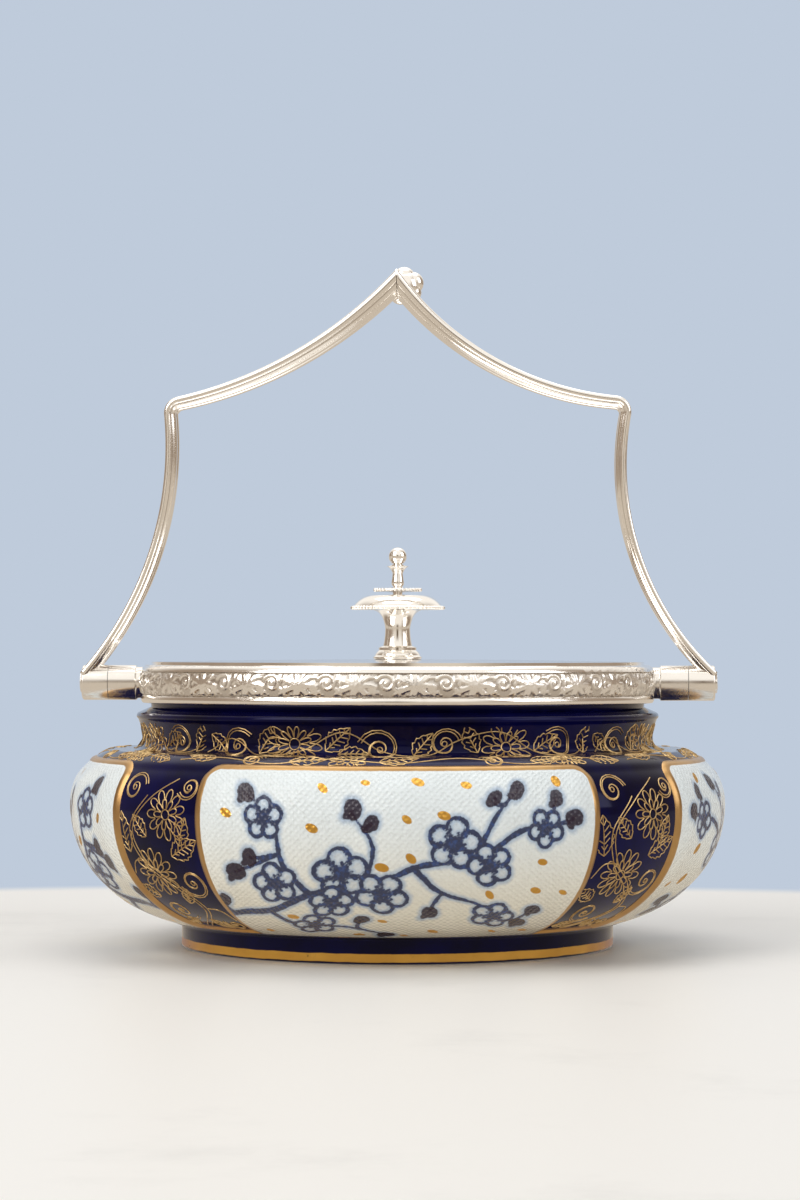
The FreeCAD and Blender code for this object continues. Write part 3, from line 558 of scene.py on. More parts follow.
cobalt = Finish("cobalt_glaze")
depth = cobalt.noise(55.0, 4.0, 0.6)
wander = cobalt.sum("MULTIPLY", cobalt.sum("SUBTRACT", cobalt.noise(140.0), 0.5), BAND_WANDER)
level = cobalt.sum("ADD", cobalt.height(), wander)
painted = cobalt.sum(
    "MAXIMUM", band(cobalt, level, *FOOT_BAND), band(cobalt, level, *BASE_LINE)
)
worn = cobalt.step(cobalt.noise(260.0, 5.0, 0.7), 0.62, 0.78, 1.0, 0.55)
gilt = cobalt.sum("MULTIPLY", painted, worn)
gold_colour = cobalt.blend(cobalt.noise(90.0, 4.0), GOLD, GOLD_WORN)
cobalt.set(
    Base_Color=cobalt.blend(
        gilt, cobalt.blend(cobalt.step(depth, 0.35, 0.7), COBALT, COBALT_THICK), gold_colour
    ),
    Metallic=cobalt.sum("MULTIPLY", gilt, 0.6),
    Roughness=cobalt.step(gilt, 0.0, 1.0, 0.1, 0.3),
    Specular_IOR_Level=0.15,
    Specular_Tint=GLAZE_SHEEN,
    Coat_Weight=0.06,
    Coat_Roughness=0.04,
    Normal=cobalt.bump(cobalt.noise(85.0, 2.0), 0.06 * MM),
)
PALE_INSIDE = (paint(236, 232, 220), paint(222, 214, 196))
inside_glaze = Finish("pale_glaze_inside")
fine = inside_glaze.noise(300.0, 5.0)
inside_glaze.set(
    Base_Color=inside_glaze.blend(fine, *PALE_INSIDE),
    Roughness=0.18,
    Coat_Weight=0.5,
    Coat_Roughness=0.06,
    Normal=inside_glaze.bump(fine, 0.03 * MM),
)
bowl = make_piece("bowl_glazed_body", bowl_mesh, (cobalt, inside_glaze), "root")
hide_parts("bowl")
print("bowl triangles:", 2 * len(bowl.data.polygons))

# %% [markdown]
# Four pale panels stand a little proud of the cobalt. Each is a soft cushion of pottery with a
# rounded edge, gentle ribs and a print of plum branches in flowing blue. A grid is bent onto the
# bowl, and every vertex keeps its distance to the edge, the strokes, the buds and the gold marks.
# The finish then turns those distances into crisp lines.

# %% Distances to drawn shapes
PANEL_TURN = math.radians(2.5)
PANEL_HALF = math.radians(35.1)
PANEL_TOP = 58.6
PANEL_CORNER = 5.0
PANEL_FINE = 0.42
NO_SHAPE = 99.0


def to_segment(x, y, start, end, thick, thin):
    """Distance to a tapered stroke from start to end."""
    (ax, ay), (bx, by) = start, end
    dx, dy = bx - ax, by - ay
    share = np.clip(((x - ax) * dx + (y - ay) * dy) / (dx * dx + dy * dy), 0, 1)
    return np.hypot(x - ax - dx * share, y - ay - dy * share) - (thick + (thin - thick) * share)


def to_path(x, y, points, thick, thin):
    """Distance to a run of tapered strokes."""
    nearest = np.full_like(x, NO_SHAPE)
    count = len(points) - 1
    for k in range(count):
        near = thick + (thin - thick) * k / count
        far_end = thick + (thin - thick) * (k + 1) / count
        nearest = np.minimum(nearest, to_segment(x, y, points[k], points[k + 1], near, far_end))
    return nearest


def to_oval(x, y, spot, turn, long_half, short_half):
    c, s = math.cos(turn), math.sin(turn)
    across = (x - spot[0]) * c + (y - spot[1]) * s
    up = (y - spot[1]) * c - (x - spot[0]) * s
    return (np.hypot(across / long_half, up / short_half) - 1) * short_half


def curve_through(points, per_leg=8):
    """A soft curve through a few points, as a longer list of points."""
    points = [np.array(p, float) for p in points]
    full = [2 * points[0] - points[1], *points, 2 * points[-1] - points[-2]]
    made = []
    for a, b, c, d in zip(full, full[1:], full[2:], full[3:]):
        for k in range(per_leg):
            t = k / per_leg
            made.append(
                0.5 * (2 * b + (c - a) * t + (2 * a - 5 * b + 4 * c - d) * t ** 2
                       + (3 * b - a - 3 * c + d) * t ** 3)
            )
    return [*made, points[-1]]


# %% Lay out the plum branches
# Each branch is points in mm across and up the panel, then its half width at both ends.
BRANCHES = [
    ([(56, 9), (43, 15), (33, 17), (22, 24), (9, 25), (-4, 32), (-19, 34), (-31, 41), (-44, 43)],
     1.0, 0.4),
    ([(22, 24), (29, 33), (31, 42), (37, 49)], 0.65, 0.28),
    ([(-4, 32), (-11, 24), (-21, 20), (-30, 13)], 0.6, 0.25),
    ([(33, 17), (25, 11), (12, 9), (4, 5)], 0.6, 0.25),
    ([(-19, 34), (-24, 44), (-29, 50)], 0.5, 0.22),
    ([(9, 25), (6, 37), (11, 45)], 0.5, 0.22),
]
BLOSSOMS = [
    (14, 30, 7.4, 0.2), (4, 24, 7.0, 0.9), (16.5, 20.5, 6.0, 1.6), (-14, 38, 7.0, 0.5),
    (-23, 32.5, 6.0, 1.2), (31, 27, 6.4, 1.3), (21, 10.5, 5.8, 0.1), (-24, 15.5, 6.0, 0.7),
    (34, 44, 5.6, 0.3), (-38, 41.5, 5.2, 1.0),
]
BUD_SWELL = 1.25
BUD_SHORT = 0.78
CUP_ASIDE = 1.1
CUP_BELOW = 1.3
CUP_TURN = 1.2
TWIG_SWELL = 1.25
TWIG_ENDS = (0.6, 0.4)
TWIG_BEND = (0.8, -0.6)
BUDS = [
    (-46, 44, 0.1, 2.0), (-30, 51, 1.9, 2.0), (-24, 49, 2.3, 1.7), (39, 50.5, 0.9, 2.2),
    (42, 30, 0.5, 2.3), (38, 34, 1.3, 2.0), (11, 46.5, 1.4, 2.2), (6.5, 43, 2.2, 1.8),
    (-31, 11.5, 0.6, 2.1), (-35, 17, 0.2, 1.9), (3, 3.8, 0.3, 1.9), (9, 13.5, 2.6, 1.7),
    (-8, 17, 1.1, 2.0), (46, 20.5, 1.2, 1.9), (-41, 49, 1.2, 1.8),
]
# A blossom's parts as shares of its size, and its lines as half widths in mm.
STAMENS = 10
PETALS = 5
HEART = 0.2
HEART_RAGGED = 0.06
PETAL_OUT = 0.56
PETAL_RADIUS = 0.41
PETAL_RING = 0.27
PETAL_THINNING = 0.25
GAP_REACH = 0.62
STAMEN_REACH = (0.4, 0.5)
STAMEN_DOT = 0.36
PETAL_LINE = 0.17
OUTLINE = 0.46
MARK_ROWS = 6
MARK_COLUMNS = range(-5, 6)
MARK_PITCH = (11.2, 9.8)
MARK_START = 4.5
MARK_ROOM = 1.5
MARK_EDGE = 3.5
MARK_SEED = 11


def polar(reach, angle):
    return reach * math.cos(angle), reach * math.sin(angle)


def blossom_fields(x, y, spot, size, turn):
    """Distances to one blossom's form and to the strokes that draw it."""
    dx, dy = x - spot[0], y - spot[1]
    reach = np.hypot(dx, dy)
    form = np.full_like(x, NO_SHAPE)
    ragged = HEART + HEART_RAGGED * np.sin(9 * np.arctan2(dy, dx) + spot[0])
    stroke = reach - ragged * size
    thinning = PETAL_THINNING * smooth_rise(reach, 0.5 * size, 0.8 * size)
    for k in range(PETALS):
        angle = turn + FULL_TURN * k / PETALS
        cx, cy = polar(PETAL_OUT * size, angle)
        petal = np.hypot(dx - cx, dy - cy)
        form = np.minimum(form, petal - PETAL_RADIUS * size)
        ring = np.abs(petal - PETAL_RING * size) + thinning - PETAL_LINE
        stroke = np.minimum(stroke, ring)
        gap = angle + math.pi / PETALS
        ends = polar(HEART * size, gap), polar(GAP_REACH * size, gap)
        stroke = np.minimum(stroke, to_segment(dx, dy, *ends, 0.16, 0.34))
    for k in range(STAMENS):
        angle = turn + 0.2 + FULL_TURN * k / STAMENS
        tip = polar(size * STAMEN_REACH[k % 2], angle)
        stroke = np.minimum(stroke, to_segment(dx, dy, polar(HEART * size, angle), tip, 0.1, 0.14))
        stroke = np.minimum(stroke, np.hypot(dx - tip[0], dy - tip[1]) - STAMEN_DOT)
    return form, np.minimum(stroke, np.abs(form + 0.25) - OUTLINE)


def print_fields(x, y, edge_mm, flip, seed):
    """All the distances that a panel's print needs, in mm."""
    x = x * flip
    branch = np.full_like(x, NO_SHAPE)
    for points, thick, thin in BRANCHES:
        legs = curve_through(points, 4)
        branch = np.minimum(branch, to_path(x, y, legs, thick * TWIG_SWELL, thin * TWIG_SWELL))
    bud = np.full_like(x, NO_SHAPE)
    wood = [point for points, _, _ in BRANCHES for point in curve_through(points, 4)]
    for bx, by, turn, bud_size in BUDS:
        size = bud_size * BUD_SWELL
        root = min(wood, key=lambda point: math.dist(point, (bx, by)))
        elbow = ((root[0] + bx) / 2 + TWIG_BEND[0], (root[1] + by) / 2 + TWIG_BEND[1])
        twig = curve_through([tuple(root), elbow, (bx, by)], 4)
        branch = np.minimum(branch, to_path(x, y, twig, *TWIG_ENDS))
        cup = (bx + CUP_ASIDE, by - CUP_BELOW)
        bud = np.minimum(bud, to_oval(x, y, (bx, by), turn, size, size * BUD_SHORT))
        bud = np.minimum(bud, to_oval(x, y, cup, turn + CUP_TURN, size * 0.6, size * 0.4))
    bloom = np.full_like(x, NO_SHAPE)
    stroke = np.full_like(x, NO_SHAPE)
    for bx, by, size, turn in BLOSSOMS:
        form, lines = blossom_fields(x, y, (bx, by), size, turn)
        stroke = np.where(form < 0.1, lines, np.minimum(np.maximum(stroke, -form), lines))
        bloom = np.minimum(bloom, form)
    branch = np.maximum(branch, -bloom)
    printed = np.minimum(np.minimum(branch, bud), np.minimum(bloom, edge_mm - MARK_EDGE))
    return branch, bud, bloom, stroke, gold_marks(x, y, printed, seed)


def gold_marks(x, y, printed, seed):
    """Small slanting gold ovals, set about evenly where the print leaves room."""
    chance = random.Random(seed)
    marks = np.full_like(x, NO_SHAPE)
    for row in range(MARK_ROWS):
        for column in MARK_COLUMNS:
            spot = (
                (column + (row % 2) / 2) * MARK_PITCH[0] + chance.uniform(-2.4, 2.4),
                MARK_START + row * MARK_PITCH[1] + chance.uniform(-1.9, 1.9),
            )
            turn = chance.uniform(0.2, 1.1)
            size = chance.uniform(0.75, 1.15)
            nearest = np.argmin(np.hypot(x - spot[0], y - spot[1]))
            if printed[nearest] > MARK_ROOM:
                marks = np.minimum(marks, to_oval(x, y, spot, turn, 1.6 * size, 1.0 * size))
    return marks


print("branches:", len(BRANCHES), "blossoms:", len(BLOSSOMS), "buds:", len(BUDS))

# %% [markdown]
# The panel's finish reads those distances. Ink bleeds a little into the glaze, which gives flow
# blue its haze. The pale body carries a net of tiny dimples and a trace of craze lines.

# %% Printed panel finish
PALE_LIT_TOP = paint(229, 236, 238)
PALE_SHADED_LOW = paint(233, 227, 210)
INK = paint(8, 20, 66)
INK_LIGHT = paint(22, 58, 122)
INK_WASH = paint(140, 166, 198)
BUD_INK = paint(34, 15, 38)
CRAZE_BROWN = paint(150, 132, 110)

pf = Finish("printed_panel")
# Painted light: the pale glaze is lighter and cooler towards the top and darker and warmer low on
# the bulge, as light falls on it.
pale = pf.blend(pf.step(pf.height(), 12 * MM, 42 * MM), PALE_SHADED_LOW, PALE_LIT_TOP)
flat = pf.add("ShaderNodeUVMap", {"uv_map": "panel_mm"}).outputs[0]
bleed = pf.sum("MULTIPLY", pf.sum("SUBTRACT", pf.noise(430.0, 4.0, 0.7), 0.5), 1.1)
stroke, branch, bud = (
    pf.sum("ADD", pf.field(name), bleed) for name in ("stroke_mm", "branch_mm", "bud_mm")
)
bloom = pf.field("bloom_mm")
nearest = pf.sum("MINIMUM", pf.sum("MINIMUM", stroke, branch), bud)
haze = pf.step(nearest, 0.0, 1.5, 0.7, 0.0)
wash = pf.step(bloom, -1.2, 0.2, 0.35, 0.0)
tinted = pf.blend(pf.sum("MAXIMUM", haze, wash), pale, INK_WASH)
dark = pf.step(pf.sum("MINIMUM", stroke, branch), -0.1, 0.22, 0.93, 0.0)
mottle = pf.step(pf.noise(700.0, 3.0), 0.48, 0.72)
inked = pf.blend(dark, tinted, pf.blend(mottle, INK, INK_LIGHT))
budded = pf.blend(pf.step(bud, -0.1, 0.25, 0.96, 0.0), inked, BUD_INK)
edge = pf.sum("ADD", pf.field("edge_mm"), pf.sum("MULTIPLY", bleed, 0.35))
border = pf.step(edge, 1.6, 1.85, 1.0, 0.0)
marks = pf.step(pf.field("mark_mm"), -0.05, 0.12, 1.0, 0.0)
gilt = pf.sum("MAXIMUM", border, marks)
rubbed_gold = pf.noise(140.0, 4.0)
border_gold = pf.blend(rubbed_gold, BORDER_GOLD, BORDER_WORN)
gold_colour = pf.blend(marks, border_gold, pf.blend(rubbed_gold, GOLD, GOLD_WORN))
aslant = pf.add("ShaderNodeMapping", Vector=flat, Rotation=(0.0, 0.0, math.pi / 4))
cells = pf.add(
    "ShaderNodeTexVoronoi", {"feature": "F1"}, Vector=aslant.outputs[0], Scale=0.8, Randomness=0.3
)
dimples = pf.sum(
    "MULTIPLY", pf.step(cells.outputs["Distance"], 0.1, 0.62), pf.step(edge, 1.7, 2.6)
)
craze = pf.add("ShaderNodeTexVoronoi", {"feature": "DISTANCE_TO_EDGE"}, Vector=flat, Scale=0.33)
crazed = pf.step(craze.outputs["Distance"], 0.0, 0.02, 0.12, 0.0)
pf.set(
    Base_Color=pf.blend(gilt, pf.blend(crazed, budded, CRAZE_BROWN), gold_colour),
    Metallic=pf.sum("MULTIPLY", gilt, 0.9),
    Roughness=pf.step(gilt, 0.0, 1.0, 0.2, 0.34),
    Specular_IOR_Level=0.35,
    Coat_Weight=0.12,
    Coat_Roughness=0.08,
    Normal=pf.bump(dimples, 0.17 * MM, Normal=pf.bump(pf.noise(60.0, 2.0), 0.1 * MM)),
)
print("panel finish nodes:", len(pf.tree.nodes))

# %% Bend the panels onto the bowl
PANEL_NAMES = ("front", "right", "back", "left")
RIB_PITCH = 26.0
RIB_DEPTH = 0.9
RIB_SINK = 0.15
PANEL_PROUD = 0.75
PANEL_SKIRT = 1.5
PANEL_MARGIN = math.radians(1.2)
PANEL_FIELDS = ("branch_mm", "bud_mm", "bloom_mm", "stroke_mm", "mark_mm", "edge_mm")
HIDDEN_PAST = -1.2
RIM_RISE = (-0.9, 1.1)
RIM_DIP = (0.4, 1.6)
DIP_SHARE = 1.2
RIBS_FROM_EDGE = (2, 8)
RIBS_FROM_FOOT = (3, 20)


def panel_edge(x, up):
    """Distance inside the panel's outline, which is open at the foot."""
    radius = np.interp(up, run, body_line[:, 0])
    beyond_x = np.abs(x) - (PANEL_HALF * radius - PANEL_CORNER)
    beyond_y = up - (PANEL_TOP - PANEL_CORNER)
    outside = np.hypot(np.maximum(beyond_x, 0), np.maximum(beyond_y, 0))
    return PANEL_CORNER - outside - np.minimum(np.maximum(beyond_x, beyond_y), 0)


def panel_proud(x, up, edge_mm):
    """Height of the cushion above the cobalt: a rounded edge, and ribs that fade towards it."""
    crests = 0.5 + 0.5 * np.cos(FULL_TURN * x / RIB_PITCH)
    fade = smooth_rise(edge_mm, *RIBS_FROM_EDGE) * smooth_rise(up, *RIBS_FROM_FOOT)
    ribs = (RIB_DEPTH * crests - RIB_SINK) * fade
    rim = smooth_rise(edge_mm, *RIM_RISE) - smooth_rise(-edge_mm, *RIM_DIP) * DIP_SHARE
    return PANEL_PROUD * rim + ribs


def make_panel(index, name):
    middle = -math.pi / 2 + PANEL_TURN + index * math.pi / 2
    half_turn = PANEL_HALF + PANEL_MARGIN
    columns = round(2 * half_turn * BELLY_RADIUS / PANEL_FINE)
    rows = round((PANEL_TOP + PANEL_SKIRT) / PANEL_FINE)
    mesh = bmesh.new()
    bmesh.ops.create_grid(mesh, x_segments=columns, y_segments=rows, size=0.5)
    flat_spots = np.array([vertex.co[:2] for vertex in mesh.verts])
    angle = flat_spots[:, 0] * 2 * half_turn
    up = np.clip((flat_spots[:, 1] + 0.5) * (PANEL_TOP + PANEL_SKIRT), 0, None)
    x = angle * np.interp(up, run, body_line[:, 0])
    edge_mm = panel_edge(x, up)
    move_to(mesh, on_bowl(middle + angle, up, panel_proud(x, up, edge_mm)))
    hidden = [f for f in mesh.faces if all(edge_mm[v.index] < HIDDEN_PAST for v in f.verts)]
    mesh.verts.index_update()
    keep = np.ones(len(mesh.verts), bool)
    bmesh.ops.delete(mesh, geom=hidden, context="FACES_ONLY")
    loose = [v for v in mesh.verts if not v.link_faces]
    keep[[v.index for v in loose]] = False
    bmesh.ops.delete(mesh, geom=loose, context="VERTS")
    x, up, edge_mm = x[keep], up[keep], edge_mm[keep]
    flip = -1 if index % 2 == 0 else 1
    fields = print_fields(x, up, edge_mm, flip, MARK_SEED + index)
    piece = make_piece(f"bowl_panel_{name}", mesh, (pf,), "root")
    for field_name, values in zip(PANEL_FIELDS, (*fields, edge_mm)):
        keep_field(piece, field_name, values)
    corner = np.zeros(len(piece.data.loops), np.int32)
    piece.data.loops.foreach_get("vertex_index", corner)
    chart = piece.data.uv_layers.new(name="panel_mm")
    spread = np.stack([x, up], axis=-1)[corner]
    chart.data.foreach_set("uv", spread.astype(np.float32).ravel())
    return piece


panels = [make_panel(index, name) for index, name in enumerate(PANEL_NAMES)]
print("panel triangles:", [2 * len(panel.data.polygons) for panel in panels])

# %% [markdown]
# Fine gilt line work covers the cobalt: scrolls with curled ends, serrated leaves, round flowers.
# Each line is drawn flat in millimetres, laid on the bowl, and given a thin four-sided body that is
# half sunk in the glaze, as raised gold is.

# %% Line motifs
def spiral(x, y, wide, tight, start, turns, count=26):
    """A volute that winds from a wide radius to a tight one."""
    made = []
    for k in range(count + 1):
        share = k / count
        angle = start + FULL_TURN * turns * share
        radius = wide + (tight - wide) * share ** 0.8
        made.append((x + radius * math.cos(angle), y + radius * math.sin(angle)))
    return made


TOOTH = 0.28
SIDE_VEIN = 0.62


def leaf(x, y, turn, length, width, teeth=5):
    """A serrated leaf: both edges, the middle vein and its side veins."""
    c, s = math.cos(turn), math.sin(turn)

    def spot(along, aside):
        return (x + along * c - aside * s, y + along * s + aside * c)

    lines = []
    for side in (1, -1):
        edge_points = []
        for k in range(teeth * 4 + 1):
            share = k / (teeth * 4)
            tooth = 1 + TOOTH * ((share * teeth) % 1 - 0.5)
            aside = side * width * math.sin(math.pi * share ** 0.85) * tooth
            edge_points.append(spot(length * share, aside))
        lines.append(edge_points)
        for k in range(1, teeth):
            share = k / teeth
            root = share * 0.9
            reach = side * width * SIDE_VEIN * math.sin(math.pi * share)
            lines.append([spot(length * root, 0), spot(length * (root + 0.12), reach)])
    lines.append([spot(0, 0), spot(length * 0.5, width * 0.06), spot(length, 0)])
    return lines


def flower(x, y, size, petals=9, turn=0.0):
    """A round many-petalled flower with two rings of petals and a small centre."""
    lines = [spiral(x, y, size * 0.2, size * 0.2, 0, 1, 10)]
    for ring_size, count in ((0.62, petals - 2), (1.0, petals)):
        for k in range(count):
            middle = turn + ring_size + FULL_TURN * k / count
            half = math.pi / count * 0.92
            inner = 0.24 * size if ring_size < 1 else 0.55 * size
            petal_line = []
            for step in range(9):
                share = step / 8
                bow = math.sin(math.pi * share) ** 0.6
                radius = inner + (ring_size * size - inner) * bow
                angle = middle + half * (2 * share - 1)
                petal_line.append((x + radius * math.cos(angle), y + radius * math.sin(angle)))
            lines.append(petal_line)
    return lines


def stem(*points):
    return [tuple(p) for p in curve_through(points, 6)]


# %% Lay out the gilding
def scroll(x, y, wide, start, turns):
    """A volute drawn with a double line."""
    return [
        spiral(x, y, wide, 0.7, start, turns),
        spiral(x, y, wide - 0.9, 1.5, start, turns * 0.8),
        spiral(x, y, 0.7, 0.7, 0, 1, 8),
    ]


# Places are mm round the bowl, at the belly's or the neck's radius, and mm of run up the section.
GAP_STEMS = [
    ((-6, 2), (2, 8), (7, 15), (2, 24), (-6, 31), (-9, 40), (-2, 48), (7, 54)),
    ((-7.2, 3), (0.8, 8.8), (5.6, 15), (0.9, 23.2), (-7.2, 30.5), (-10.2, 40), (-3, 49)),
    ((-6, 31), (-11, 31), (-14, 27)),
    ((7, 15), (12, 14), (14, 9)),
]
GAP_MOTIFS = [
    (scroll, -6.5, 13.0, 6.0, -0.6, -1.7), (scroll, 9.0, 25.0, 6.3, 3.4, 1.6),
    (scroll, -9.5, 51.0, 5.4, 0.2, 1.5), (scroll, 10.5, 5.5, 4.4, 2.6, 1.4),
    (scroll, 11.5, 51.5, 4.0, 3.6, 1.5), (flower, -3.5, 27.5, 7.4, 12),
    (flower, 4.5, 44.0, 6.8, 11, 0.4), (leaf, -12.0, 33.5, 1.75, 11.0, 3.2, 6),
    (leaf, 5.0, 33.0, 0.45, 10.5, 3.0, 6), (leaf, -9.5, 19.0, 2.5, 7.0, 2.4),
    (leaf, 2.0, 17.0, 1.1, 6.5, 2.0), (leaf, 1.5, 8.5, 5.3, 8.0, 2.4),
    (leaf, -3.5, 38.0, 2.3, 7.5, 2.3), (leaf, -13.0, 5.0, 0.35, 7.5, 2.1),
    (leaf, 8.5, 36.0, 1.2, 8.0, 2.4),
]
NECK_STEMS = [
    ((-55, 70), (-46, 75), (-36, 70), (-25, 72), (-14, 77), (-4, 72),
     (6, 70), (16, 75), (27, 77), (38, 71), (47, 70), (55, 74)),
    ((-55, 60), (-42, 62), (-28, 59.5), (-15, 62), (0, 60),
     (14, 62.5), (28, 59.5), (42, 62), (55, 60)),
]
NECK_MOTIFS = [
    (scroll, -44.0, 73.0, 5.6, 0.6, 1.7), (scroll, -4.5, 72.5, 6.0, 2.8, -1.8),
    (scroll, 12.0, 74.0, 4.8, 0.2, 1.6), (scroll, 44.0, 73.5, 5.4, 2.4, -1.6),
    (scroll, -33.0, 61.0, 3.2, 0.4, 1.5), (scroll, 21.0, 61.0, 3.2, 2.6, -1.5),
    (flower, -27.0, 73.8, 7.6, 14, 0.2), (flower, 28.5, 73.0, 6.8, 12, 0.7),
    (flower, -11.0, 61.0, 4.2, 10), (flower, 40.0, 61.0, 4.0, 10, 0.5),
    (leaf, -36.5, 71.0, 1.1, 8.5, 2.6), (leaf, -18.5, 72.0, 0.75, 9.0, 2.8, 6),
    (leaf, -15.0, 71.0, 0.0, 8.0, 2.3), (leaf, 4.0, 70.5, 0.9, 8.0, 2.4),
    (leaf, 20.5, 71.5, 2.0, 8.0, 2.4), (leaf, 36.5, 72.0, 0.5, 8.5, 2.6),
    (leaf, 52.0, 71.0, 1.3, 8.0, 2.4), (leaf, -53.0, 76.0, 5.6, 7.5, 2.2),
    (leaf, -24.0, 60.5, 0.15, 8.5, 2.1), (leaf, -43.0, 61.5, 3.0, 8.5, 2.1),
    (leaf, -4.0, 60.5, 0.25, 9.0, 2.2), (leaf, 30.0, 61.0, 0.1, 7.5, 2.0),
    (leaf, 46.0, 61.5, 6.1, 8.0, 2.1),
]


def lay_out(stems, motifs):
    lines = [stem(*points) for points in stems]
    for motif, *numbers in motifs:
        lines += motif(*numbers)
    return lines


GILT_HALF_WIDTH = 0.2
LINE_SINK = 0.02
LINE_LOW = 0.6
LINE_HIGH = 78.4
NECK_RADIUS = 70.0
NECK_LOW = 58.0
NECK_MARGIN = 0.9
GAP_MIDDLE = -math.pi / 4 + PANEL_TURN
GAP_HALF = (math.pi / 4 - PANEL_HALF) * BELLY_RADIUS - 0.5
CORNER_ROOM = 2.0
NECK_HALF = math.pi / 4 * NECK_RADIUS

gilt_curve = bpy.data.curves.new("bowl_gilding", "CURVE")
gilt_curve.dimensions = "3D"
gilt_curve.bevel_depth = GILT_HALF_WIDTH * MM
gilt_curve.bevel_resolution = 0
gilt_curve.use_fill_caps = True


def kept_runs(points, low, high, half, corner_room=0.0):
    """The stretches of a line inside its field, which is wider beside the panels' round corners."""
    made, current = [], []
    for x, up in points:
        corner = max(0.0, up - (PANEL_TOP - PANEL_CORNER)) / PANEL_CORNER
        if low <= up <= high and abs(x) <= half + corner_room * corner:
            current.append((x, up))
        elif current:
            made.append(current)
            current = []
    return [line for line in [*made, current] if len(line) > 1]


def lay_line(points, middle, radius):
    flat_line = np.array(points, float)
    spots = on_bowl(middle + flat_line[:, 0] / radius, flat_line[:, 1], -LINE_SINK)
    spline = gilt_curve.splines.new("POLY")
    spline.points.add(len(spots) - 1)
    spline.points.foreach_set("co", np.c_[spots, np.ones(len(spots))].ravel())


gap_count = neck_count = 0
for quarter in range(4):
    for points in lay_out(GAP_STEMS, GAP_MOTIFS):
        for line in kept_runs(points, LINE_LOW, NECK_LOW, GAP_HALF, CORNER_ROOM):
            lay_line(line, GAP_MIDDLE + quarter * math.pi / 2, BELLY_RADIUS)
            gap_count += 1
    for points in lay_out(NECK_STEMS, NECK_MOTIFS):
        for line in kept_runs(points, NECK_LOW + NECK_MARGIN, LINE_HIGH, NECK_HALF):
            lay_line(line, GAP_MIDDLE + (quarter + 0.5) * math.pi / 2, NECK_RADIUS)
            neck_count += 1
print("gilt lines between the panels:", gap_count, "and round the neck:", neck_count)

# %% Give the gilding its body and finish
GILT_LINE = paint(214, 184, 132)
GILT_LINE_WORN = paint(164, 132, 86)

gilding = Finish("raised_gilding")
rubbed = gilding.noise(420.0, 4.0, 0.65)
gilding.set(
    Base_Color=gilding.blend(gilding.step(rubbed, 0.4, 0.75), GILT_LINE, GILT_LINE_WORN),
    Metallic=1.0,
    Roughness=gilding.step(rubbed, 0.3, 0.7, 0.28, 0.5),
    Normal=gilding.bump(rubbed, 0.02 * MM),
)
drawn = bpy.data.objects.new("gilt_lines", gilt_curve)
bpy.context.scene.collection.objects.link(drawn)
bpy.context.view_layer.update()
gilt_data = bpy.data.meshes.new_from_object(drawn)
bpy.data.objects.remove(drawn)
gilt_mesh = bmesh.new()
gilt_mesh.from_mesh(gilt_data)
gilt_piece = make_piece("bowl_gilt_lines", gilt_mesh, (gilding,), "root")
print("gilding triangles:", sum(len(face.vertices) - 2 for face in gilt_piece.data.polygons))

# %% [markdown]
# The collar's band is pressed metal with leaves, curling tendrils and small berries. The band is
# spun with many fine faces, and each vertex is then pushed out by the height of the relief there.

# %% Relief on the collar's band
BAND_LOW = 68.2
BAND_HIGH = 74.5
BAND_RADIUS = 69.4
BAND_BULGE = 7.0
BAND_WALL = 0.8
BAND_FINE = 0.31
RELIEF_REPEATS = 29
RELIEF_DEPTH = 0.5
SKIN_LIFT = 0.05
OUTER_SKIN = 0.2
BAND_EDGE = 0.5
LEAF_CORE = 0.46
SERRATION = 0.06
VEIN_WIDTH = 0.16
VEIN_DEPTH = 0.42
BERRY = (0.3, 0.36, 0.8)


def mound(distance, width):
    """A rounded height from a distance: full inside, falling away over a width."""
    return 1 - smooth_rise(distance, -width, width * 0.35)


def vine_leaf(x, y, spot, turn, size, points=5, stretch=1.0):
    """A pointed leaf of several lobes, domed, with a groove along each lobe."""
    dx, dy = (x - spot[0]) / stretch, y - spot[1]
    radius, angle = np.hypot(dx, dy), np.arctan2(dy, dx) - turn
    lobe = np.abs(np.cos(angle * points / 2))
    outline = size * (LEAF_CORE + (1 - LEAF_CORE) * lobe ** 1.7)
    inside = radius - outline * (1 + SERRATION * np.cos(angle * points * 5))
    furrow = np.exp(-(((1 - lobe) * radius) / VEIN_WIDTH) ** 2) * smooth_rise(radius, 0.15, 0.5)
    vein = 1 - VEIN_DEPTH * furrow
    fold = 0.55 + 0.45 * lobe
    return mound(inside, 0.75) * vein * fold


def to_spiral(x, y, *numbers):
    return to_path(x, y, spiral(*numbers, 20), 0.46, 0.26)


# In mm along a repeat and up the band, but a berry's first number is a share of the repeat.
TENDRIL = ((4.0, 3.3), (6.3, 4.9), (9.0, 5.2), (11.7, 5.6))
BERRIES = ((0.12, 0.8), (0.38, 0.7), (0.68, 0.8), (0.88, 5.3), (0.42, 5.6))


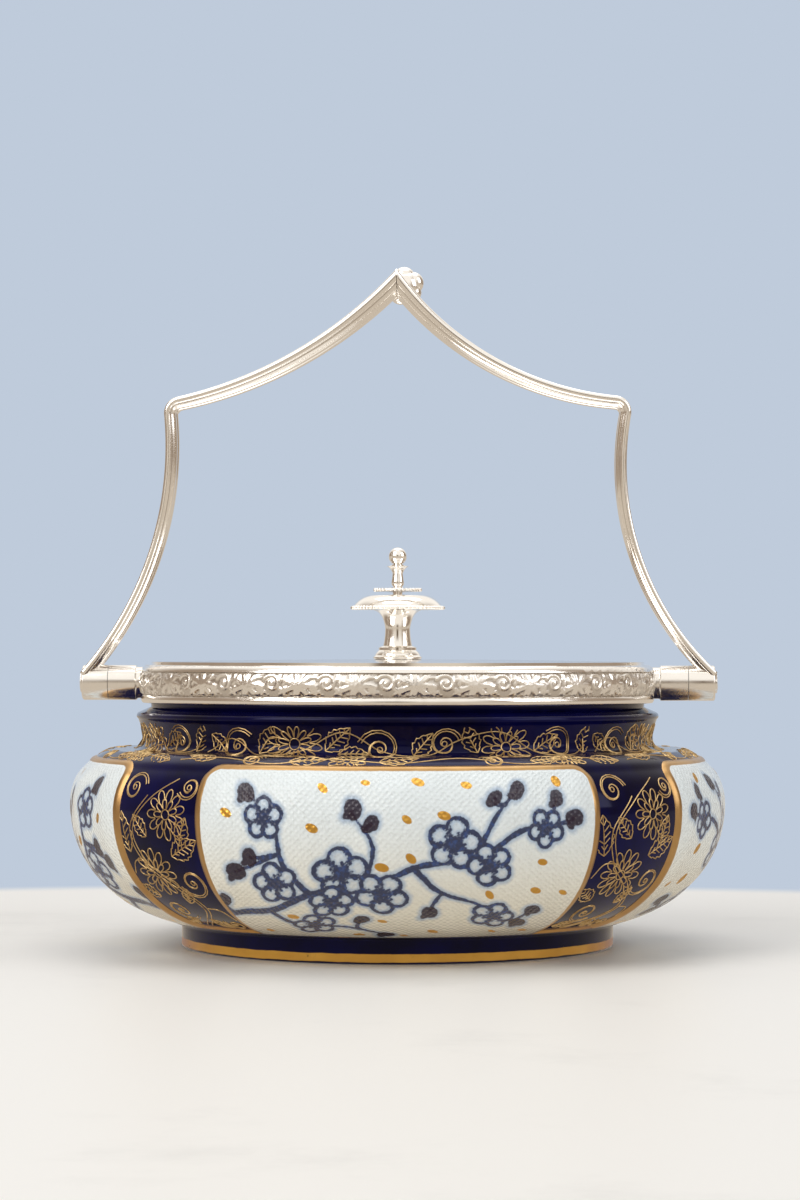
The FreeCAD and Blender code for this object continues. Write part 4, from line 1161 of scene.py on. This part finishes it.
def relief_height(x, y, pitch):
    """Height from 0 to 1 at places along one repeat and up the band, both in mm."""
    high = np.zeros_like(x)
    for shift in (-pitch, 0.0, pitch):
        s = x - shift
        parts = [
            vine_leaf(s, y, (0.27 * pitch, 3.1), 1.75, 3.9, 7, 1.3),
            vine_leaf(s, y, (0.01 * pitch, 4.6), 0.6, 1.9) * 0.85,
            vine_leaf(s, y, (0.54 * pitch, 1.5), 2.4, 2.0) * 0.85,
            vine_leaf(s, y, (0.97 * pitch, 1.5), 1.2, 1.8) * 0.8,
            mound(to_spiral(s, y, 0.76 * pitch, 3.6, 2.6, 0.6, 2.7, -1.35), 0.42),
            mound(np.hypot(s - 0.76 * pitch, y - 3.6) - 0.6, 0.5),
            mound(to_path(s, y, stem(*TENDRIL), 0.36, 0.26), 0.36) * 0.85,
        ]
        size, width, top = BERRY
        for share, level in BERRIES:
            parts.append(mound(np.hypot(s - share * pitch, y - level) - size, width) * top)
        for part in parts:
            high = np.maximum(high, part)
    return high


band_pen = Pen((BAND_RADIUS, BAND_LOW), BAND_FINE).arc(BAND_RADIUS, BAND_HIGH, BAND_BULGE)
inner_radius = BAND_RADIUS - BAND_WALL
band_points = [*band_pen.points, (inner_radius, BAND_HIGH), (inner_radius, BAND_LOW)]
band_mesh = bmesh.new()
profile = add_profile(band_mesh, band_points)
profile.append(band_mesh.edges.new((profile[len(band_points) - 1], profile[0])))
spin_round(band_mesh, profile, round(FULL_TURN * BAND_RADIUS / BAND_FINE))
bmesh.ops.recalc_face_normals(band_mesh, faces=band_mesh.faces)
spots = np.array([vertex.co[:] for vertex in band_mesh.verts]) / MM
radius, level = np.hypot(spots[:, 0], spots[:, 1]), spots[:, 2]
around = np.arctan2(spots[:, 1], spots[:, 0]) * BAND_RADIUS
pitch = FULL_TURN * BAND_RADIUS / RELIEF_REPEATS
outer = radius > BAND_RADIUS - OUTER_SKIN
high = relief_height(around % pitch, level - BAND_LOW, pitch)
high = high * smooth_rise(level, BAND_LOW, BAND_LOW + BAND_EDGE)
high = high * (1 - smooth_rise(level, BAND_HIGH - BAND_EDGE, BAND_HIGH)) * outer
push = (high * RELIEF_DEPTH - SKIN_LIFT) * outer
spots[:, :2] *= ((radius + push) / radius)[:, None]
move_to(band_mesh, spots * MM)
band_piece = make_piece("collar_relief_band", band_mesh, (relief_plate,), "root")
keep_field(band_piece, "relief", high)
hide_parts("collar_band")
print("relief triangles:", 2 * len(band_piece.data.polygons), "highest:", round(high.max(), 2))

# %% [markdown]
# The saucer of the finial has a rim of small beads, and the disc above it a rope edge. Each bead
# is a small sphere of few faces, set round a circle.

# %% Beads of the finial
SAUCER_BEADS = (64, 12.35, 91.75, (0.62, 0.56, 0.55), 0.0)
ROPE_BEADS = (34, 6.25, 96.65, (0.42, 0.36, 0.62), math.radians(38))


def ring_of_beads(name, count, radius, level, size, slant):
    mesh = bmesh.new()
    out = Matrix.Translation((radius * MM, 0, level * MM))
    lean = Matrix.Rotation(slant, 4, "X")
    stretch = Matrix.Diagonal((*(half * MM for half in size), 1))
    for k in range(count):
        spot_on = Matrix.Rotation(FULL_TURN * k / count, 4, "Z") @ out @ lean @ stretch
        bmesh.ops.create_icosphere(mesh, subdivisions=2, radius=1.0, matrix=spot_on)
    return make_piece(name, mesh, (plate,), "lid")


beads = ring_of_beads("finial_saucer_beads", *SAUCER_BEADS)
rope = ring_of_beads("finial_rope_edge", *ROPE_BEADS)
print("bead triangles:", len(beads.data.polygons) + len(rope.data.polygons))

# %% [markdown]
# Each half of the handle is a reeded strap. Its section is drawn once, lying flat: a plain outer
# face, a bead along each edge and a low crown between two grooves. A grid is then bent along the
# strap's outer edge, up the arm, round the shoulder and on to the peak, and it thickens on the way.

# %% Reeded straps of the handle
STRAP_FOOT = Vector((84.6, 76.1))
STRAP_PEAK = Vector((0.0, 183.8))
STRAP_CORNER = Vector((59.1, 144.8))
CORNER_CURVE = 4.2
STRAP_CURVES = {"left": (93.6, 116.0), "right": (77.0, 83.0)}
STRAP_SPACING = 0.8
STRAP_RUN_IN = (3.0, 4)
STRAP_RUN_OUT = (5.0, 6)
STRAP_WIDTHS = (8.8, 13.0, 18.0)
STRAP_THICKNESSES = (3.3, 3.3, 4.8)
STRAP_OUTWARD = (0.3, 0.3, 0.0)
SEAM_HALF_GAP = 0.06
SECTION_FINE = 0.22
SECTION_WIDTH = 15.0
SECTION_THICKNESS = 3.5
BEAD = 0.95
GROOVE = (SECTION_WIDTH / 2 - 1.7 * BEAD, 1.72 * BEAD)
REED = (0.13 * SECTION_WIDTH, 0.78 * SECTION_THICKNESS)
REED_CURVE = 0.175 * SECTION_WIDTH
# Painted shade on the straps: a warm brown in the grooves and where the crown meets each reed.
GROOVE_SHADE_FROM = 0.1
GROOVE_SHADE_TO = 0.55
GROOVE_SHADE_SHARE = 0.85
GROOVE_SHADE_BROWN = paint(104, 82, 60)

half = SECTION_WIDTH / 2
crown_rise = SECTION_THICKNESS - REED[1]
crown_curve = REED[0] ** 2 / (2 * crown_rise) + crown_rise / 2
strap_pen = Pen((BEAD - half, 0), SECTION_FINE)
strap_pen.line(half - BEAD, 0).arc(half, BEAD, BEAD).arc(*GROOVE, BEAD)
strap_pen.arc(*REED, REED_CURVE).arc(-REED[0], REED[1], crown_curve)
strap_pen.arc(-GROOVE[0], GROOVE[1], REED_CURVE).arc(-half, BEAD, BEAD)
strap_pen.arc(BEAD - half, 0, BEAD)
section = np.array(strap_pen.points)
grooves = np.array([(side * across, up) for side in (-1, 1) for across, up in (GROOVE, REED)])
near_groove = np.linalg.norm(section[:, None] - grooves[None], axis=2).min(axis=1)
section_groove_shade = 1 - smooth_rise(near_groove, GROOVE_SHADE_FROM, GROOVE_SHADE_TO)


def touching_centre(point, radius, side):
    """Centre of the arc through a point that also touches the shoulder's round corner."""
    span = STRAP_CORNER - point
    reach = radius + CORNER_CURVE
    along = (span.length_squared + radius ** 2 - reach ** 2) / (2 * span.length)
    aside = math.sqrt(radius ** 2 - along ** 2) * side
    span.normalize()
    return point + span * along + Vector((-span.y, span.x)) * aside


def arc_points(centre, begin, end):
    spokes = begin - centre, end - centre
    first, last = (math.atan2(spoke.y, spoke.x) for spoke in spokes)
    swing = (last - first + math.pi) % FULL_TURN - math.pi
    reach = spokes[0].length
    count = max(8, round(abs(swing) * reach / STRAP_SPACING))
    angles = [first + swing * k / count for k in range(count + 1)]
    return [centre + Vector((math.cos(angle), math.sin(angle))) * reach for angle in angles]


def strap_path(arm_curve, top_curve):
    """The strap's outer edge as points in mm, and how many of them lie below the shoulder."""
    arm_centre = touching_centre(STRAP_FOOT, arm_curve, -1)
    top_centre = touching_centre(STRAP_PEAK, top_curve, 1)
    arm_end = STRAP_CORNER + (arm_centre - STRAP_CORNER).normalized() * CORNER_CURVE
    top_end = STRAP_CORNER + (top_centre - STRAP_CORNER).normalized() * CORNER_CURVE
    arm = arc_points(arm_centre, STRAP_FOOT, arm_end)
    corner = arc_points(STRAP_CORNER, arm_end, top_end)
    top = arc_points(top_centre, top_end, STRAP_PEAK)
    foot_heading = (arm[0] - arm[1]).normalized()
    peak_heading = (top[-1] - top[-2]).normalized()
    reach, steps = STRAP_RUN_IN
    run_in = [arm[0] + foot_heading * reach * k / steps for k in range(steps, 0, -1)]
    reach, steps = STRAP_RUN_OUT
    run_out = [top[-1] + peak_heading * reach * k / steps for k in range(1, steps + 1)]
    path = run_in + arm + corner[1:] + top[1:] + run_out
    return np.array([tuple(point) for point in path]), len(run_in) + len(arm)


def make_half(name, side):
    path, shoulder = strap_path(*STRAP_CURVES[name])
    stations, around = len(path), len(section)
    along = run_along(path)
    tangent = np.gradient(path, along, axis=0)
    tangent /= np.linalg.norm(tangent, axis=1)[:, None]
    marks = (along[0], along[shoulder], along[-1])
    width = np.interp(along, marks, STRAP_WIDTHS) / SECTION_WIDTH
    thick = np.interp(along, marks, STRAP_THICKNESSES) / SECTION_THICKNESS
    mesh = bmesh.new()
    bmesh.ops.create_grid(mesh, x_segments=stations - 1, y_segments=around - 1, size=0.5)
    flat_spots = np.array([vertex.co[:2] for vertex in mesh.verts]) + 0.5
    at = np.rint(flat_spots[:, 0] * (stations - 1)).astype(int)
    place = np.rint(flat_spots[:, 1] * (around - 1)).astype(int)
    inward = section[place, 1] * thick[at] - np.interp(along, marks, STRAP_OUTWARD)[at]
    spots = np.stack([
        path[at, 0] - tangent[at, 1] * inward,
        section[place, 0] * width[at],
        path[at, 1] + tangent[at, 0] * inward,
    ], axis=-1)
    spots[:, :2] *= side
    # Each vertex keeps its share of the painted groove shade.
    layer = mesh.verts.layers.float.new("dirt")
    for vertex, spot_on, dirt in zip(mesh.verts, spots * MM, section_groove_shade[place]):
        vertex.co = spot_on
        vertex[layer] = dirt
    bmesh.ops.remove_doubles(mesh, verts=mesh.verts, dist=0.001 * MM)
    geometry = mesh.verts[:] + mesh.edges[:] + mesh.faces[:]
    bmesh.ops.bisect_plane(
        mesh, geom=geometry, plane_co=(side * SEAM_HALF_GAP * MM, 0, 0), plane_no=(-side, 0, 0),
        clear_outer=True,
    )
    bmesh.ops.holes_fill(mesh, edges=[edge for edge in mesh.edges if edge.is_boundary])
    bmesh.ops.recalc_face_normals(mesh, faces=mesh.faces)
    piece_name = f"handle_{name}_strap"
    piece = make_piece(piece_name, mesh, (strap_plate,), "handle")
    for polygon in piece.data.polygons:
        if polygon.loop_total > 4:
            polygon.use_smooth = False
    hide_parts(f"handle_{name}_half")
    print(piece_name, "stations:", stations, "faces:", len(piece.data.polygons))


strap_plate = silver_finish("silver_plate_strap", 0.15, 0.003, 0.3)
# The straps' painted shade darkens their colour towards a warm brown near the grooves.
dirt = strap_plate.sum("MULTIPLY", strap_plate.field("dirt"), GROOVE_SHADE_SHARE)
strap_plate.darken(dirt, GROOVE_SHADE_BROWN)
make_half("left", -1)
make_half("right", 1)

# %% [markdown]
# Behind the peak sits a small cast rosette. Its solid is flat in front, where it meets the straps.
# The dressed one is a round boss with five petals, each a squashed sphere, and the parts that
# reach forward are lost inside the straps.

# %% Rosette behind the peak
ROSETTE_PLACE = Vector((1.5, 9.6, 180.8))
ROSETTE_PETALS = 5
BOSS_RADIUS = 4.3
PETAL_BALL = 3.1
PETAL_REACH = 2.3
PETAL_START = 23
SQUASH = 0.8

lobes = [(0.0, 0.0, BOSS_RADIUS)]
for petal in range(ROSETTE_PETALS):
    angle = math.radians(PETAL_START + 360 / ROSETTE_PETALS * petal)
    lobes.append((*polar(PETAL_REACH, angle), PETAL_BALL))
rosette_mesh = bmesh.new()
for across, up, size in lobes:
    spot_on = Matrix.Translation((ROSETTE_PLACE + Vector((across, 0, up))) * MM)
    stretch = Matrix.Diagonal((size * MM, size * SQUASH * MM, size * MM, 1))
    bmesh.ops.create_icosphere(rosette_mesh, subdivisions=4, radius=1.0, matrix=spot_on @ stretch)
rosette = make_piece("handle_rosette_cast", rosette_mesh, (plate,), "handle")
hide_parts("handle_rosette")
print("rosette triangles:", len(rosette.data.polygons))

# %% Measure the visual box and finish
visual_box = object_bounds()
box_size = [round((top - low) / MM, 1) for low, top in zip(*visual_box)]
print("visual box in mm:", box_size)
